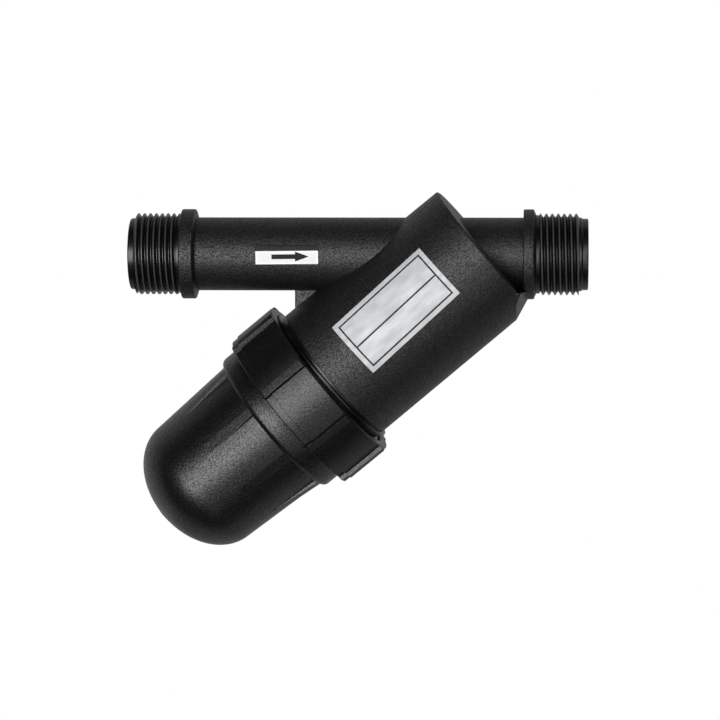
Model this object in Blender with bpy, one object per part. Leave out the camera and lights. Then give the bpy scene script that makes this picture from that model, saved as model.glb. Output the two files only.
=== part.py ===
"""Inline Y-type disc filter for one-inch irrigation pipe.

Frame: +X runs along the pipe with the flow, +Z is up, and the barrel slants down
towards -X in the XZ plane. The origin is the centre of the inlet's end face.
Sizes below are in millimetres, and MM turns them into metres.
"""
from math import acos, cos, pi, radians, sin, tan

import bmesh
import bpy
from mathutils import Matrix, Vector

MM = 0.001
GAP = 0.3               # clearance between pieces that touch in the real filter
EMBED = 1.0             # how far a rib or pad reaches into the wall that it grows from
PAST = 5.0              # how far a cutter runs past the face that it opens

# Run pipe with its two threaded spigots
RUN_LENGTH = 187.6
PIPE_RADIUS = 15.0
BORE_RADIUS = 12.0
LEAD_RADIUS = 14.4
LEAD_LENGTH = 2.5
LEAD_CHAMFER = 0.5
THREAD_CREST = 16.6     # one-inch pipe thread, kept plain at its 33.2 mm crests
THREAD_CHAMFER = 0.6
FLANGE_FACE = 21.2      # from each end of the run to its flange
FLANGE_RADIUS = 18.4
FLANGE_CHAMFER = 0.7
FLANGE_DRAFT = 0.5
INLET_FLANGE_WIDTH = 6.5
OUTLET_FLANGE_WIDTH = 5.2
INLET_RUNOUT = 0.5
OUTLET_RUNOUT = 1.5
RUNOUT_RADIUS = 16.0

# Barrel, which slants down from its crossing with the run's axis
BARREL_SLANT = radians(39.7)
HEAD_FACE = -3.4        # along the barrel's axis from the crossing, towards the cap
HEAD_WALL = 2.5
HEAD_ROUND = 0.6
HEAD_RADIUS = 30.6
BARREL_DRAFT = 0.5      # how much wider the barrel is at its mouth
BARREL_WALL = 2.6
CORNER_REACH = 15.6     # from the crossing to the plane where the head's low corner stops
CORNER_GAP = 2.7        # from that plane to the outlet's flange, filled by a drafted corner
CORNER_WIDTH = 19.8     # half the drafted corner's width at the height of the flange's edge
CORNER_FOOT = 1.6       # where its ridge ends, above the barrel's low side
BEAD_START = 76.7
BEAD_WIDTH = 1.9
BEAD_RISE = 1.1         # from the barrel's radius at its mouth, as the next two
NECK_THREAD_RISE = 0.9
NECK_TIP_STEP = 0.4
NECK_THREAD_LENGTH = 19.2
NECK_TIP_LENGTH = 7.8
NECK_CHAMFER = 0.6
CHAMBER_DRAFT = 0.4

# Seat for the cartridge, between the chamber and the outlet
POCKET_MARGIN = 2.0     # the outlet pocket's radius over the socket's
SEAT_START = 9.0
SEAT_PLATE = 3.0
SOCKET_LENGTH = 9.7
SOCKET_WALL = 2.6
SOCKET_MARGIN = 0.4     # the socket's radius over the discs' bore

# Gusset in the middle plane, and the pad that carries the arrow
GUSSET_THICKNESS = 3.0
GUSSET_REACH = 75.4     # from the crossing back to the gusset's upright edge
PAD_SHARE = 0.608       # of the spare length between flange and barrel, before the pad
PAD_LENGTH = 25.7
PAD_HEIGHT = 8.2
PAD_RISE = 0.5          # the pad's middle above the run's axis
PAD_FACE = 15.2         # the pad's flat face from the run's axis

# Screw cap: collar, shoulder, bowl and dome in one moulding
COLLAR_SETBACK = 1.2    # from the bead to the collar's mouth
COLLAR_LENGTH = 21.5
COLLAR_WALL = 4.15
COLLAR_CHAMFER = 0.9
COLLAR_BAND = 3.3       # width of the slightly smaller band at the bowl end
COLLAR_BAND_STEP = 0.5
COLLAR_PLAY = 1.0       # between the neck's thread crests and the collar's bore
COLLAR_BORE_SPARE = 0.7 # how far the collar's bore runs past the neck's thread
MOUTH_BEVEL = 0.5
GRIP_COUNT = 8
GRIP_HEIGHT = 1.55
GRIP_WIDTH = 3.4
GRIP_CHAMFER = 1.5
GRIP_SETBACK = 0.4
GRIP_PHASE = radians(20.0)   # first grip, from the camera side (-Y) towards the pipe
SHOULDER_STEP = 3.85    # from the collar's radius in to the shoulder's
SHOULDER_ROUND = 3.0
SHOULDER_LENGTH = 8.9
BOWL_STEP = 2.4         # from the shoulder's radius in to the bowl's
BOWL_LENGTH = 37.3
BOWL_DRAFT = 1.8
DOME_LENGTH = 21.8
CAP_WALL = 2.8
BOWL_RIB_HEIGHT = 1.1
BOWL_RIB_LENGTH = 25.8
BOWL_RIB_SINK = 0.25    # how far below the wall the fading end of a rib lies
BOSS_RADIUS = 13.0
BOSS_BORE = 10.5

# Seal under the cap's step
SEAL_WIDTH = 2.7
SEAL_THICKNESS = 1.6

# Cartridge: spine, discs, clamp plate, nut and seat seal
SPINE_SETBACK = 0.8     # from the seat's start to the spine's neck, then to its groove
SEAL_GROOVE_SETBACK = 4.0
NECK_PLAY = 0.4         # between the spine's neck and its socket
SPINE_WALL = 3.0
SEAL_GROOVE_WIDTH = 2.6
SEAL_GROOVE_DEPTH = 1.6
SPINE_FLANGE = 3.0
FIN_COUNT = 6
FIN_THICKNESS = 2.0
CORE_RADIUS = 5.0
STUD_RADIUS = 4.0
STUD_SPARE = 2.7
DISC_COUNT = 36
DISC_THICKNESS = 2.7
DISC_MARGIN = 4.6       # between the discs and the chamber's wall
DISC_BAND = 6.8
FIN_CLEARANCE = 0.5
CLAMP_THICKNESS = 3.0
CLAMP_HUB_RADIUS = 9.0
CLAMP_HUB_LENGTH = 2.7
NUT_LENGTH = 6.0
NUT_RADIUS = 8.0

# Labels
LABEL_LENGTH = 47.6
LABEL_WIDTH = 25.3
LABEL_THICKNESS = 0.2
LABEL_MIDDLE = 38.4     # along the barrel's axis
LABEL_TURN = radians(9.6)    # round the barrel from the camera side
LABEL_TILT = radians(3.3)
LABEL_GAP = 0.06
STICKER_LENGTH = 25.5
STICKER_HEIGHT = 5.7
STICKER_MARGIN = 0.05

# Facets
RUN_SEGMENTS = 32
BARREL_SEGMENTS = 44
CAP_SEGMENTS = 44
DISC_SEGMENTS = 12
SMALL_SEGMENTS = 20
DOME_STEPS = 6
ROUND_STEPS = 3
LABEL_STEPS = 8

# Places that follow from the sizes above
OUTLET_FLANGE_START = RUN_LENGTH - FLANGE_FACE - OUTLET_FLANGE_WIDTH
CORNER_PLANE = OUTLET_FLANGE_START - CORNER_GAP
CROSSING = CORNER_PLANE - CORNER_REACH
GUSSET_X = CROSSING - GUSSET_REACH
MOUTH_RADIUS = HEAD_RADIUS + BARREL_DRAFT
CHAMBER_RADIUS = HEAD_RADIUS - BARREL_WALL
PAD_ROOM_START = FLANGE_FACE + INLET_FLANGE_WIDTH
PAD_ROOM_END = CROSSING - MOUTH_RADIUS / sin(BARREL_SLANT)
PAD_START = PAD_ROOM_START + PAD_SHARE * (PAD_ROOM_END - PAD_ROOM_START - PAD_LENGTH)
BEAD_END = BEAD_START + BEAD_WIDTH
BEAD_RADIUS = MOUTH_RADIUS + BEAD_RISE
NECK_THREAD_RADIUS = MOUTH_RADIUS + NECK_THREAD_RISE
NECK_THREAD_END = BEAD_END + NECK_THREAD_LENGTH
NECK_TIP_RADIUS = MOUTH_RADIUS - NECK_TIP_STEP
NECK_END = NECK_THREAD_END + NECK_TIP_LENGTH
COLLAR_START = BEAD_END + COLLAR_SETBACK
COLLAR_END = COLLAR_START + COLLAR_LENGTH
COLLAR_BORE = NECK_THREAD_RADIUS + COLLAR_PLAY
COLLAR_BORE_END = NECK_THREAD_END + COLLAR_BORE_SPARE
COLLAR_RADIUS = COLLAR_BORE + COLLAR_WALL
COLLAR_BAND_RADIUS = COLLAR_RADIUS - COLLAR_BAND_STEP
GRIP_RADIUS = COLLAR_RADIUS + GRIP_HEIGHT
SHOULDER_RADIUS = COLLAR_RADIUS - SHOULDER_STEP
SHOULDER_END = COLLAR_END + SHOULDER_LENGTH
BOWL_RADIUS = SHOULDER_RADIUS - BOWL_STEP
BOWL_RIB_END = SHOULDER_END + BOWL_RIB_LENGTH
DOME_RADIUS = BOWL_RADIUS - BOWL_DRAFT
DOME_START = SHOULDER_END + BOWL_LENGTH
SEAL_BORE = NECK_TIP_RADIUS + 2 * GAP
SEAL_INNER = SEAL_BORE - SEAL_WIDTH
DISC_RADIUS = CHAMBER_RADIUS - DISC_MARGIN
DISC_BORE = DISC_RADIUS - DISC_BAND
SOCKET_RADIUS = DISC_BORE + SOCKET_MARGIN
SOCKET_BORE = SOCKET_RADIUS - SOCKET_WALL
SOCKET_END = SEAT_START + SOCKET_LENGTH
OUTLET_POCKET_RADIUS = SOCKET_RADIUS + POCKET_MARGIN
SPINE_TOP = SEAT_START + SPINE_SETBACK
SPINE_NECK_RADIUS = SOCKET_BORE - NECK_PLAY
SPINE_BORE = SPINE_NECK_RADIUS - SPINE_WALL
SEAL_GROOVE_START = SEAT_START + SEAL_GROOVE_SETBACK
SEAL_GROOVE_RADIUS = SPINE_NECK_RADIUS - SEAL_GROOVE_DEPTH
STACK_START = SOCKET_END + GAP + SPINE_FLANGE + GAP
DISC_PITCH = DISC_THICKNESS + GAP
STACK_END = STACK_START + DISC_COUNT * DISC_PITCH
CLAMP_FACE = STACK_END + CLAMP_THICKNESS
NUT_START = CLAMP_FACE + CLAMP_HUB_LENGTH + GAP
STUD_END = NUT_START + NUT_LENGTH + STUD_SPARE
SPINE_FLANGE_START = SOCKET_END + GAP
SEAL_START = NECK_END + GAP
SEAL_STEP = SEAL_START + SEAL_THICKNESS + GAP


def remove_startup_objects():
    """Empty the scene that Blender opens with."""
    for item in list(bpy.data.objects):
        bpy.data.objects.remove(item, do_unlink=True)


def principled(name, color, roughness, metallic=0.0):
    """A Principled material with the part's colour, roughness and metallic value."""
    material = bpy.data.materials.new(name)
    material.use_nodes = True
    shader = material.node_tree.nodes["Principled BSDF"]
    shader.inputs["Base Color"].default_value = (*color, 1.0)
    shader.inputs["Roughness"].default_value = roughness
    shader.inputs["Metallic"].default_value = metallic
    return material


def axis_frame(name, origin, forward):
    """An empty whose Z runs along forward and whose X points to the camera side, -Y."""
    frame = bpy.data.objects.new(name, None)
    bpy.context.collection.objects.link(frame)
    side = Vector((0.0, -1.0, 0.0))
    turn = Matrix((side, forward.cross(side), forward)).transposed()
    frame.location = origin * MM
    frame.rotation_euler = turn.to_euler()
    return frame


def add_object(name, bm, parent=None, material=None, angle=radians(35)):
    """Close the bmesh into an object, in millimetres until here."""
    bmesh.ops.remove_doubles(bm, verts=bm.verts, dist=0.002)
    bmesh.ops.dissolve_degenerate(bm, edges=bm.edges, dist=0.002)
    bmesh.ops.recalc_face_normals(bm, faces=bm.faces)
    bmesh.ops.scale(bm, vec=(MM, MM, MM), verts=bm.verts)
    mesh = bpy.data.meshes.new(name)
    bm.to_mesh(mesh)
    bm.free()
    mesh.shade_smooth()
    mesh.set_sharp_from_angle(angle=angle)
    item = bpy.data.objects.new(name, mesh)
    bpy.context.collection.objects.link(item)
    item.parent = parent
    if material:
        mesh.materials.append(material)
    return item


def spin_outline(bm, outline, segments):
    """Turn a closed outline of (along, radius) points about Z."""
    verts = [bm.verts.new((radius, 0.0, along)) for along, radius in outline]
    edges = [bm.edges.new(pair) for pair in zip(verts, verts[1:] + verts[:1])]
    bmesh.ops.spin(
        bm, geom=verts + edges, cent=(0, 0, 0), axis=(0, 0, 1),
        angle=2 * pi, steps=segments, use_merge=True,
    )


def turned(name, outline, segments, parent=None, material=None):
    """A turned solid from a closed outline of (along, radius) points."""
    bm = bmesh.new()
    spin_outline(bm, outline, segments)
    return add_object(name, bm, parent, material)


def push_out(bm, points, way):
    """Add a prism to the bmesh: a flat outline of points, pushed along a vector."""
    near = [bm.verts.new(point) for point in points]
    grown = bmesh.ops.extrude_face_region(bm, geom=[bm.faces.new(near)])
    far = [item for item in grown["geom"] if isinstance(item, bmesh.types.BMVert)]
    bmesh.ops.translate(bm, vec=way, verts=far)
    return near + far


def extruded(name, points, start, end, parent=None, material=None):
    """A prism with a flat outline in its local XY plane, from start to end along Z."""
    bm = bmesh.new()
    push_out(bm, [(x, y, start) for x, y in points], (0, 0, end - start))
    return add_object(name, bm, parent, material)


def box(name, low, high, parent=None, material=None):
    """A block between two corners."""
    corners = [(low[0], low[1]), (high[0], low[1]), (high[0], high[1]), (low[0], high[1])]
    return extruded(name, corners, low[2], high[2], parent, material)


def arc(centre, radius, start, end, steps):
    """(along, radius) points of an arc, its angles counted from the axis direction."""
    turns = [start + (end - start) * step / steps for step in range(steps + 1)]
    return [(centre[0] + radius * cos(t), centre[1] + radius * sin(t)) for t in turns]


def join_by(item, operation, tool):
    """Add a Boolean modifier, and keep its tool out of the finished part."""
    modifier = item.modifiers.new(f"{operation.lower()} {tool.name}", "BOOLEAN")
    modifier.operation = operation
    modifier.solver = "EXACT"
    modifier.object = tool
    tool.hide_render = True
    tool.display_type = "WIRE"


def flange_outline(start, end, start_foot, end_foot):
    """(along, radius) points of a flange: an upright start face and a leaning end face."""
    rim = FLANGE_RADIUS - FLANGE_CHAMFER
    return [
        (start, start_foot),
        (start, rim),
        (start + FLANGE_CHAMFER, FLANGE_RADIUS),
        (end - FLANGE_DRAFT - FLANGE_CHAMFER, FLANGE_RADIUS),
        (end - FLANGE_DRAFT, rim),
        (end, end_foot),
    ]


def make_run_pipe(frame):
    """The run pipe's outside: leads, spigots, flanges and pipe as one turned solid."""
    inlet_flange = FLANGE_FACE
    outlet_flange = RUN_LENGTH - FLANGE_FACE
    outlet_thread_start = outlet_flange + OUTLET_RUNOUT
    lead_start = RUN_LENGTH - LEAD_LENGTH
    lead_tip = LEAD_RADIUS - LEAD_CHAMFER
    outline = [
        (0.0, 0.0),
        (0.0, lead_tip),
        (LEAD_CHAMFER, LEAD_RADIUS),
        (LEAD_LENGTH, LEAD_RADIUS),
        (LEAD_LENGTH + THREAD_CHAMFER, THREAD_CREST),
        (inlet_flange - INLET_RUNOUT, THREAD_CREST),
        (inlet_flange - INLET_RUNOUT, RUNOUT_RADIUS),
    ]
    outline += flange_outline(
        inlet_flange, inlet_flange + INLET_FLANGE_WIDTH, RUNOUT_RADIUS, PIPE_RADIUS,
    )
    outline += flange_outline(
        OUTLET_FLANGE_START, outlet_flange, PIPE_RADIUS, RUNOUT_RADIUS,
    )
    outline += [
        (outlet_thread_start, RUNOUT_RADIUS),
        (outlet_thread_start, THREAD_CREST),
        (lead_start - THREAD_CHAMFER, THREAD_CREST),
        (lead_start, LEAD_RADIUS),
        (RUN_LENGTH - LEAD_CHAMFER, LEAD_RADIUS),
        (RUN_LENGTH, lead_tip),
        (RUN_LENGTH, 0.0),
    ]
    return turned("run_pipe_outside", outline, RUN_SEGMENTS, frame)


def barrel_radius(along):
    """The barrel's outer radius, which grows with its draft towards the mouth."""
    share = (along - HEAD_FACE) / (BEAD_START - HEAD_FACE)
    return HEAD_RADIUS + (MOUTH_RADIUS - HEAD_RADIUS) * share


def make_barrel(frame, material):
    """The barrel's outside: drafted head, stop bead, threaded neck and plain tip."""
    bead_edge = BEAD_WIDTH / 4
    outline = [
        (HEAD_FACE, 0.0),
        (HEAD_FACE, HEAD_RADIUS - HEAD_ROUND),
        (HEAD_FACE + HEAD_ROUND, HEAD_RADIUS),
        (BEAD_START, MOUTH_RADIUS),
        (BEAD_START + bead_edge, BEAD_RADIUS),
        (BEAD_END - bead_edge, BEAD_RADIUS),
        (BEAD_END, NECK_THREAD_RADIUS),
        (NECK_THREAD_END, NECK_THREAD_RADIUS),
        (NECK_THREAD_END, NECK_TIP_RADIUS),
        (NECK_END - NECK_CHAMFER, NECK_TIP_RADIUS),
        (NECK_END, NECK_TIP_RADIUS - NECK_CHAMFER),
        (NECK_END, 0.0),
    ]
    return turned("housing", outline, BARREL_SEGMENTS, frame, material)


def make_chamber(frame):
    """The cutter for the outlet pocket, the cartridge's socket and the chamber."""
    outline = [
        (HEAD_FACE + HEAD_WALL, 0.0),
        (HEAD_FACE + HEAD_WALL, OUTLET_POCKET_RADIUS),
        (SEAT_START, OUTLET_POCKET_RADIUS),
        (SEAT_START, SOCKET_BORE),
        (SOCKET_END, SOCKET_BORE),
        (SOCKET_END, SOCKET_RADIUS),
        (SEAT_START + SEAT_PLATE, SOCKET_RADIUS),
        (SEAT_START + SEAT_PLATE, CHAMBER_RADIUS - CHAMBER_DRAFT),
        (NECK_END + PAST, CHAMBER_RADIUS),
        (NECK_END + PAST, 0.0),
    ]
    return turned("chamber_cutter", outline, BARREL_SEGMENTS, frame)


def trim(bm, point, normal):
    """Cut the bmesh at a plane, drop the side the normal points to and close it."""
    geometry = bm.verts[:] + bm.edges[:] + bm.faces[:]
    cut = bmesh.ops.bisect_plane(
        bm, geom=geometry, plane_co=point, plane_no=normal, clear_outer=True, dist=0.0001,
    )
    rim = [item for item in cut["geom_cut"] if isinstance(item, bmesh.types.BMEdge)]
    bmesh.ops.contextual_create(bm, geom=rim)


def make_bore(name, frame, start, end, cuts):
    """A cutter for one bore of the run pipe, trimmed by planes inside the barrel."""
    bm = bmesh.new()
    outline = [(start, 0.0), (start, BORE_RADIUS), (end, BORE_RADIUS), (end, 0.0)]
    spin_outline(bm, outline, RUN_SEGMENTS)
    bmesh.ops.remove_doubles(bm, verts=bm.verts, dist=0.002)
    bmesh.ops.recalc_face_normals(bm, faces=bm.faces)
    for point, normal in cuts:
        trim(bm, point, normal)
    return add_object(name, bm, frame)


def in_run_frame(vector):
    """World XYZ in the run frame, whose Z is +X, X is -Y and Y is -Z."""
    return Vector((-vector.y, -vector.z, vector.x))


def make_inlet_bore(frame, forward, upward):
    """The inlet's bore, which opens into the chamber outside the cartridge's socket."""
    seat_back = SEAT_START + SEAT_PLATE + GAP
    clear_of_socket = (SOCKET_RADIUS + CHAMBER_RADIUS) / 2
    crossing = Vector((CROSSING, 0.0, 0.0))
    cuts = [
        (in_run_frame(crossing + forward * seat_back), in_run_frame(-forward)),
        (in_run_frame(crossing + upward * clear_of_socket), in_run_frame(-upward)),
    ]
    return make_bore("inlet_bore_cutter", frame, -PAST, CROSSING, cuts)


def make_outlet_bore(frame, forward):
    """The outlet's bore, which leaves the pocket behind the cartridge's socket."""
    pocket_floor = SEAT_START - 2 * GAP
    crossing = Vector((CROSSING, 0.0, 0.0))
    cuts = [(in_run_frame(crossing + forward * pocket_floor), in_run_frame(forward))]
    start = CROSSING - 2 * CHAMBER_RADIUS
    return make_bore("outlet_bore_cutter", frame, start, RUN_LENGTH + PAST, cuts)


def barrel_line_z(x, side):
    """Z where the barrel's side line (1 for the upper, -1 for the lower) reaches X."""
    radius = side * barrel_radius(NECK_END / 2)
    along = (CROSSING - x - radius * sin(BARREL_SLANT)) / cos(BARREL_SLANT)
    return -along * sin(BARREL_SLANT) + radius * cos(BARREL_SLANT)


def make_gusset():
    """The triangular web between the run pipe's underside and the barrel."""
    low = barrel_line_z(GUSSET_X, 1)
    top = -(PIPE_RADIUS - EMBED)
    sunk = 2 * EMBED
    reach = GUSSET_X + (top - low) / tan(BARREL_SLANT)
    outline = [(GUSSET_X, top), (GUSSET_X, low), (GUSSET_X + sunk, low), (reach + sunk, top)]
    near = -GUSSET_THICKNESS / 2
    bm = bmesh.new()
    push_out(bm, [(x, near, z) for x, z in outline], (0, GUSSET_THICKNESS, 0))
    return add_object("gusset", bm)


def make_corner(barrel_frame):
    """The corner between head and outlet flange, drafted to a ridge in the middle plane."""
    foot = barrel_line_z(CORNER_PLANE, -1)
    bottom = foot - PAST
    near = CORNER_PLANE - EMBED
    far = OUTLET_FLANGE_START + 2 * EMBED
    corners = [(near, -HEAD_RADIUS), (far, -HEAD_RADIUS), (far, HEAD_RADIUS), (near, HEAD_RADIUS)]
    bm = bmesh.new()
    push_out(bm, [(x, y, bottom) for x, y in corners], (0, 0, EMBED - PIPE_RADIUS - bottom))
    bmesh.ops.recalc_face_normals(bm, faces=bm.faces)
    ridge_top = Vector((OUTLET_FLANGE_START, 0.0, -FLANGE_RADIUS))
    ridge_foot = Vector((CORNER_PLANE, 0.0, foot + CORNER_FOOT))
    for side in (-1, 1):
        edge = Vector((CORNER_PLANE, side * CORNER_WIDTH, -FLANGE_RADIUS))
        normal = (ridge_foot - ridge_top).cross(edge - ridge_top) * side
        trim(bm, ridge_top, normal.normalized())
    corner = add_object("drafted_corner", bm)
    inside = HEAD_RADIUS - GAP / 6
    envelope = turned("corner_envelope", [
        (-2 * HEAD_RADIUS, 0.0), (-2 * HEAD_RADIUS, inside),
        (NECK_END, inside), (NECK_END, 0.0),
    ], BARREL_SEGMENTS, barrel_frame)
    join_by(corner, "INTERSECT", envelope)
    return corner


def make_housing(run_frame, barrel_frame, forward, upward, material):
    """The housing: barrel, run pipe, gusset, corner and pad, then its hollows."""
    housing = make_barrel(barrel_frame, material)
    below = -(PIPE_RADIUS + HEAD_RADIUS)
    corner = box(
        "corner_cutter", (CORNER_PLANE, -HEAD_RADIUS, below),
        (CORNER_PLANE + HEAD_RADIUS, HEAD_RADIUS, 0.0),
    )
    pad = box(
        "arrow_pad",
        (PAD_START, -PAD_FACE, PAD_RISE - PAD_HEIGHT / 2),
        (PAD_START + PAD_LENGTH, -(BORE_RADIUS + EMBED), PAD_RISE + PAD_HEIGHT / 2),
    )
    join_by(housing, "DIFFERENCE", corner)
    join_by(housing, "UNION", make_run_pipe(run_frame))
    join_by(housing, "UNION", make_gusset())
    join_by(housing, "UNION", make_corner(barrel_frame))
    join_by(housing, "UNION", pad)
    join_by(housing, "DIFFERENCE", make_chamber(barrel_frame))
    join_by(housing, "DIFFERENCE", make_inlet_bore(run_frame, forward, upward))
    join_by(housing, "DIFFERENCE", make_outlet_bore(run_frame, forward))
    return housing


def bowl_wall(along):
    """The bowl's outer radius between the shoulder and the dome."""
    share = (along - SHOULDER_END) / (DOME_START - SHOULDER_END)
    return BOWL_RADIUS + (DOME_RADIUS - BOWL_RADIUS) * share


def dome_arc(radius, length, start, end, steps):
    """(along, radius) points of the dome's ellipse, from angle start to angle end."""
    turns = [start + (end - start) * step / steps for step in range(steps + 1)]
    return [(DOME_START + length * sin(t), radius * cos(t)) for t in turns]


def make_grips(frame):
    """The collar's grips and the bowl's fading ribs, in line, as one Boolean tool."""
    high = GRIP_RADIUS - GRIP_CHAMFER / 2
    base = COLLAR_BAND_RADIUS - EMBED
    start = COLLAR_START + GRIP_SETBACK
    grip = [
        (start, base), (start, high), (start + GRIP_CHAMFER, GRIP_RADIUS),
        (COLLAR_END - GRIP_CHAMFER / 2, GRIP_RADIUS), (COLLAR_END, high), (COLLAR_END, base),
    ]
    rib_start = SHOULDER_END - EMBED
    rib = [
        (rib_start, bowl_wall(rib_start) - EMBED),
        (rib_start, bowl_wall(rib_start) + BOWL_RIB_HEIGHT),
        (BOWL_RIB_END, bowl_wall(BOWL_RIB_END) - BOWL_RIB_SINK),
        (BOWL_RIB_END, bowl_wall(BOWL_RIB_END) - EMBED),
    ]
    bm = bmesh.new()
    for index in range(GRIP_COUNT):
        angle = GRIP_PHASE + 2 * pi * index / GRIP_COUNT
        turn = Matrix.Rotation(angle, 3, "Z")
        for outline in (grip, rib):
            points = [(r, -GRIP_WIDTH / 2, along) for along, r in outline]
            verts = push_out(bm, points, (0, GRIP_WIDTH, 0))
            bmesh.ops.rotate(bm, cent=(0, 0, 0), matrix=turn, verts=verts)
    return add_object("grip_tool", bm, frame)


def make_cap(frame, material):
    """The screw cap: collar, shoulder, bowl, dome and inner boss as one moulding."""
    band_start = COLLAR_END - COLLAR_BAND
    inner_radius = DOME_RADIUS - CAP_WALL
    inner_length = DOME_LENGTH - CAP_WALL
    boss_face = CLAMP_FACE + GAP
    boss_foot = acos(BOSS_RADIUS / inner_radius)
    boss_floor = acos(BOSS_BORE / inner_radius)
    shoulder = (SHOULDER_END - SHOULDER_ROUND, SHOULDER_RADIUS - SHOULDER_ROUND)
    outline = [
        (COLLAR_START, COLLAR_RADIUS - COLLAR_CHAMFER),
        (COLLAR_START + COLLAR_CHAMFER, COLLAR_RADIUS),
        (band_start, COLLAR_RADIUS),
        (band_start, COLLAR_BAND_RADIUS),
        (COLLAR_END, COLLAR_BAND_RADIUS),
        (COLLAR_END, SHOULDER_RADIUS),
    ]
    outline += arc(shoulder, SHOULDER_ROUND, pi / 2, 0.0, ROUND_STEPS)
    outline += dome_arc(DOME_RADIUS, DOME_LENGTH, 0.0, pi / 2, DOME_STEPS)
    outline += dome_arc(inner_radius, inner_length, pi / 2, boss_floor, 1)
    outline += [(boss_face, BOSS_BORE), (boss_face, BOSS_RADIUS)]
    outline += dome_arc(inner_radius, inner_length, boss_foot, 0.0, ROUND_STEPS)
    outline += [
        (SEAL_STEP, BOWL_RADIUS - CAP_WALL),
        (SEAL_STEP, SEAL_BORE),
        (COLLAR_BORE_END, SEAL_BORE),
        (COLLAR_BORE_END, COLLAR_BORE),
        (COLLAR_START + MOUTH_BEVEL, COLLAR_BORE),
        (COLLAR_START, COLLAR_BORE + MOUTH_BEVEL),
    ]
    cap = turned("screw_cap", outline, CAP_SEGMENTS, frame, material)
    join_by(cap, "UNION", make_grips(frame))
    return cap


def make_ring(name, start, end, inner, outer, segments, frame, material):
    """A plain ring about the barrel's axis."""
    outline = [(start, inner), (start, outer), (end, outer), (end, inner)]
    return turned(name, outline, segments, frame, material)


def make_seals(frame, material):
    """The flat seal in the cap's step, and the ring seal on the cartridge's neck."""
    make_ring(
        "cap_seal", SEAL_START, SEAL_START + SEAL_THICKNESS, SEAL_INNER, SEAL_BORE - GAP,
        BARREL_SEGMENTS, frame, material,
    )
    make_ring(
        "seat_seal", SEAL_GROOVE_START + GAP, SEAL_GROOVE_START + SEAL_GROOVE_WIDTH - GAP,
        SEAL_GROOVE_RADIUS + GAP, SOCKET_BORE - GAP / 2, SMALL_SEGMENTS, frame, material,
    )


def make_spine(frame, material):
    """The cartridge's spine: neck, flange, six fins and a stud as one moulding."""
    groove_end = SEAL_GROOVE_START + SEAL_GROOVE_WIDTH
    flange_end = SPINE_FLANGE_START + SPINE_FLANGE
    neck = turned("cartridge_spine", [
        (SPINE_TOP, SPINE_BORE),
        (SPINE_TOP, SPINE_NECK_RADIUS),
        (SEAL_GROOVE_START, SPINE_NECK_RADIUS),
        (SEAL_GROOVE_START, SEAL_GROOVE_RADIUS),
        (groove_end, SEAL_GROOVE_RADIUS),
        (groove_end, SPINE_NECK_RADIUS),
        (SPINE_FLANGE_START, SPINE_NECK_RADIUS),
        (SPINE_FLANGE_START, DISC_RADIUS),
        (flange_end, DISC_RADIUS),
        (flange_end, SPINE_BORE),
    ], SMALL_SEGMENTS, frame, material)
    reach = DISC_BORE - FIN_CLEARANCE
    points = []
    for index in range(FIN_COUNT):
        middle = 2 * pi * index / FIN_COUNT
        notch = middle + pi / FIN_COUNT
        for side in (-1, 1):
            across = side * FIN_THICKNESS / 2
            points.append((
                reach * cos(middle) - across * sin(middle),
                reach * sin(middle) + across * cos(middle),
            ))
        points.append((CORE_RADIUS * cos(notch), CORE_RADIUS * sin(notch)))
    fins = extruded("fin_tool", points, SPINE_FLANGE_START + EMBED, STACK_END - GAP, frame)
    stud = turned("stud_tool", [
        (STACK_END - PAST, 0.0), (STACK_END - PAST, STUD_RADIUS),
        (STUD_END, STUD_RADIUS), (STUD_END, 0.0),
    ], SMALL_SEGMENTS // 2, frame)
    join_by(neck, "UNION", fins)
    join_by(neck, "UNION", stud)
    return neck


def make_discs(frame, material):
    """The stack of grooved filter discs, one node each."""
    for index in range(DISC_COUNT):
        start = STACK_START + index * DISC_PITCH
        make_ring(
            f"filter_disc_{index + 1:02d}", start, start + DISC_THICKNESS,
            DISC_BORE, DISC_RADIUS, DISC_SEGMENTS, frame, material,
        )


def make_clamp(frame, plastic_material):
    """The clamp plate with its hub, and the hexagon nut that holds the stack."""
    hole = STUD_RADIUS + GAP
    turned("clamp_plate", [
        (STACK_END, hole), (STACK_END, DISC_RADIUS), (CLAMP_FACE, DISC_RADIUS),
        (CLAMP_FACE, CLAMP_HUB_RADIUS), (CLAMP_FACE + CLAMP_HUB_LENGTH, CLAMP_HUB_RADIUS),
        (CLAMP_FACE + CLAMP_HUB_LENGTH, hole),
    ], SMALL_SEGMENTS, frame, plastic_material)
    nut_end = NUT_START + NUT_LENGTH
    nut = turned("clamp_nut", [
        (NUT_START, 0.0), (NUT_START, NUT_RADIUS), (nut_end, NUT_RADIUS), (nut_end, 0.0),
    ], 6, frame, plastic_material)
    bore = turned("nut_bore_cutter", [
        (NUT_START - EMBED, 0.0), (NUT_START - EMBED, hole),
        (nut_end + EMBED, hole), (nut_end + EMBED, 0.0),
    ], SMALL_SEGMENTS // 2, frame)
    join_by(nut, "DIFFERENCE", bore)


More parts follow.
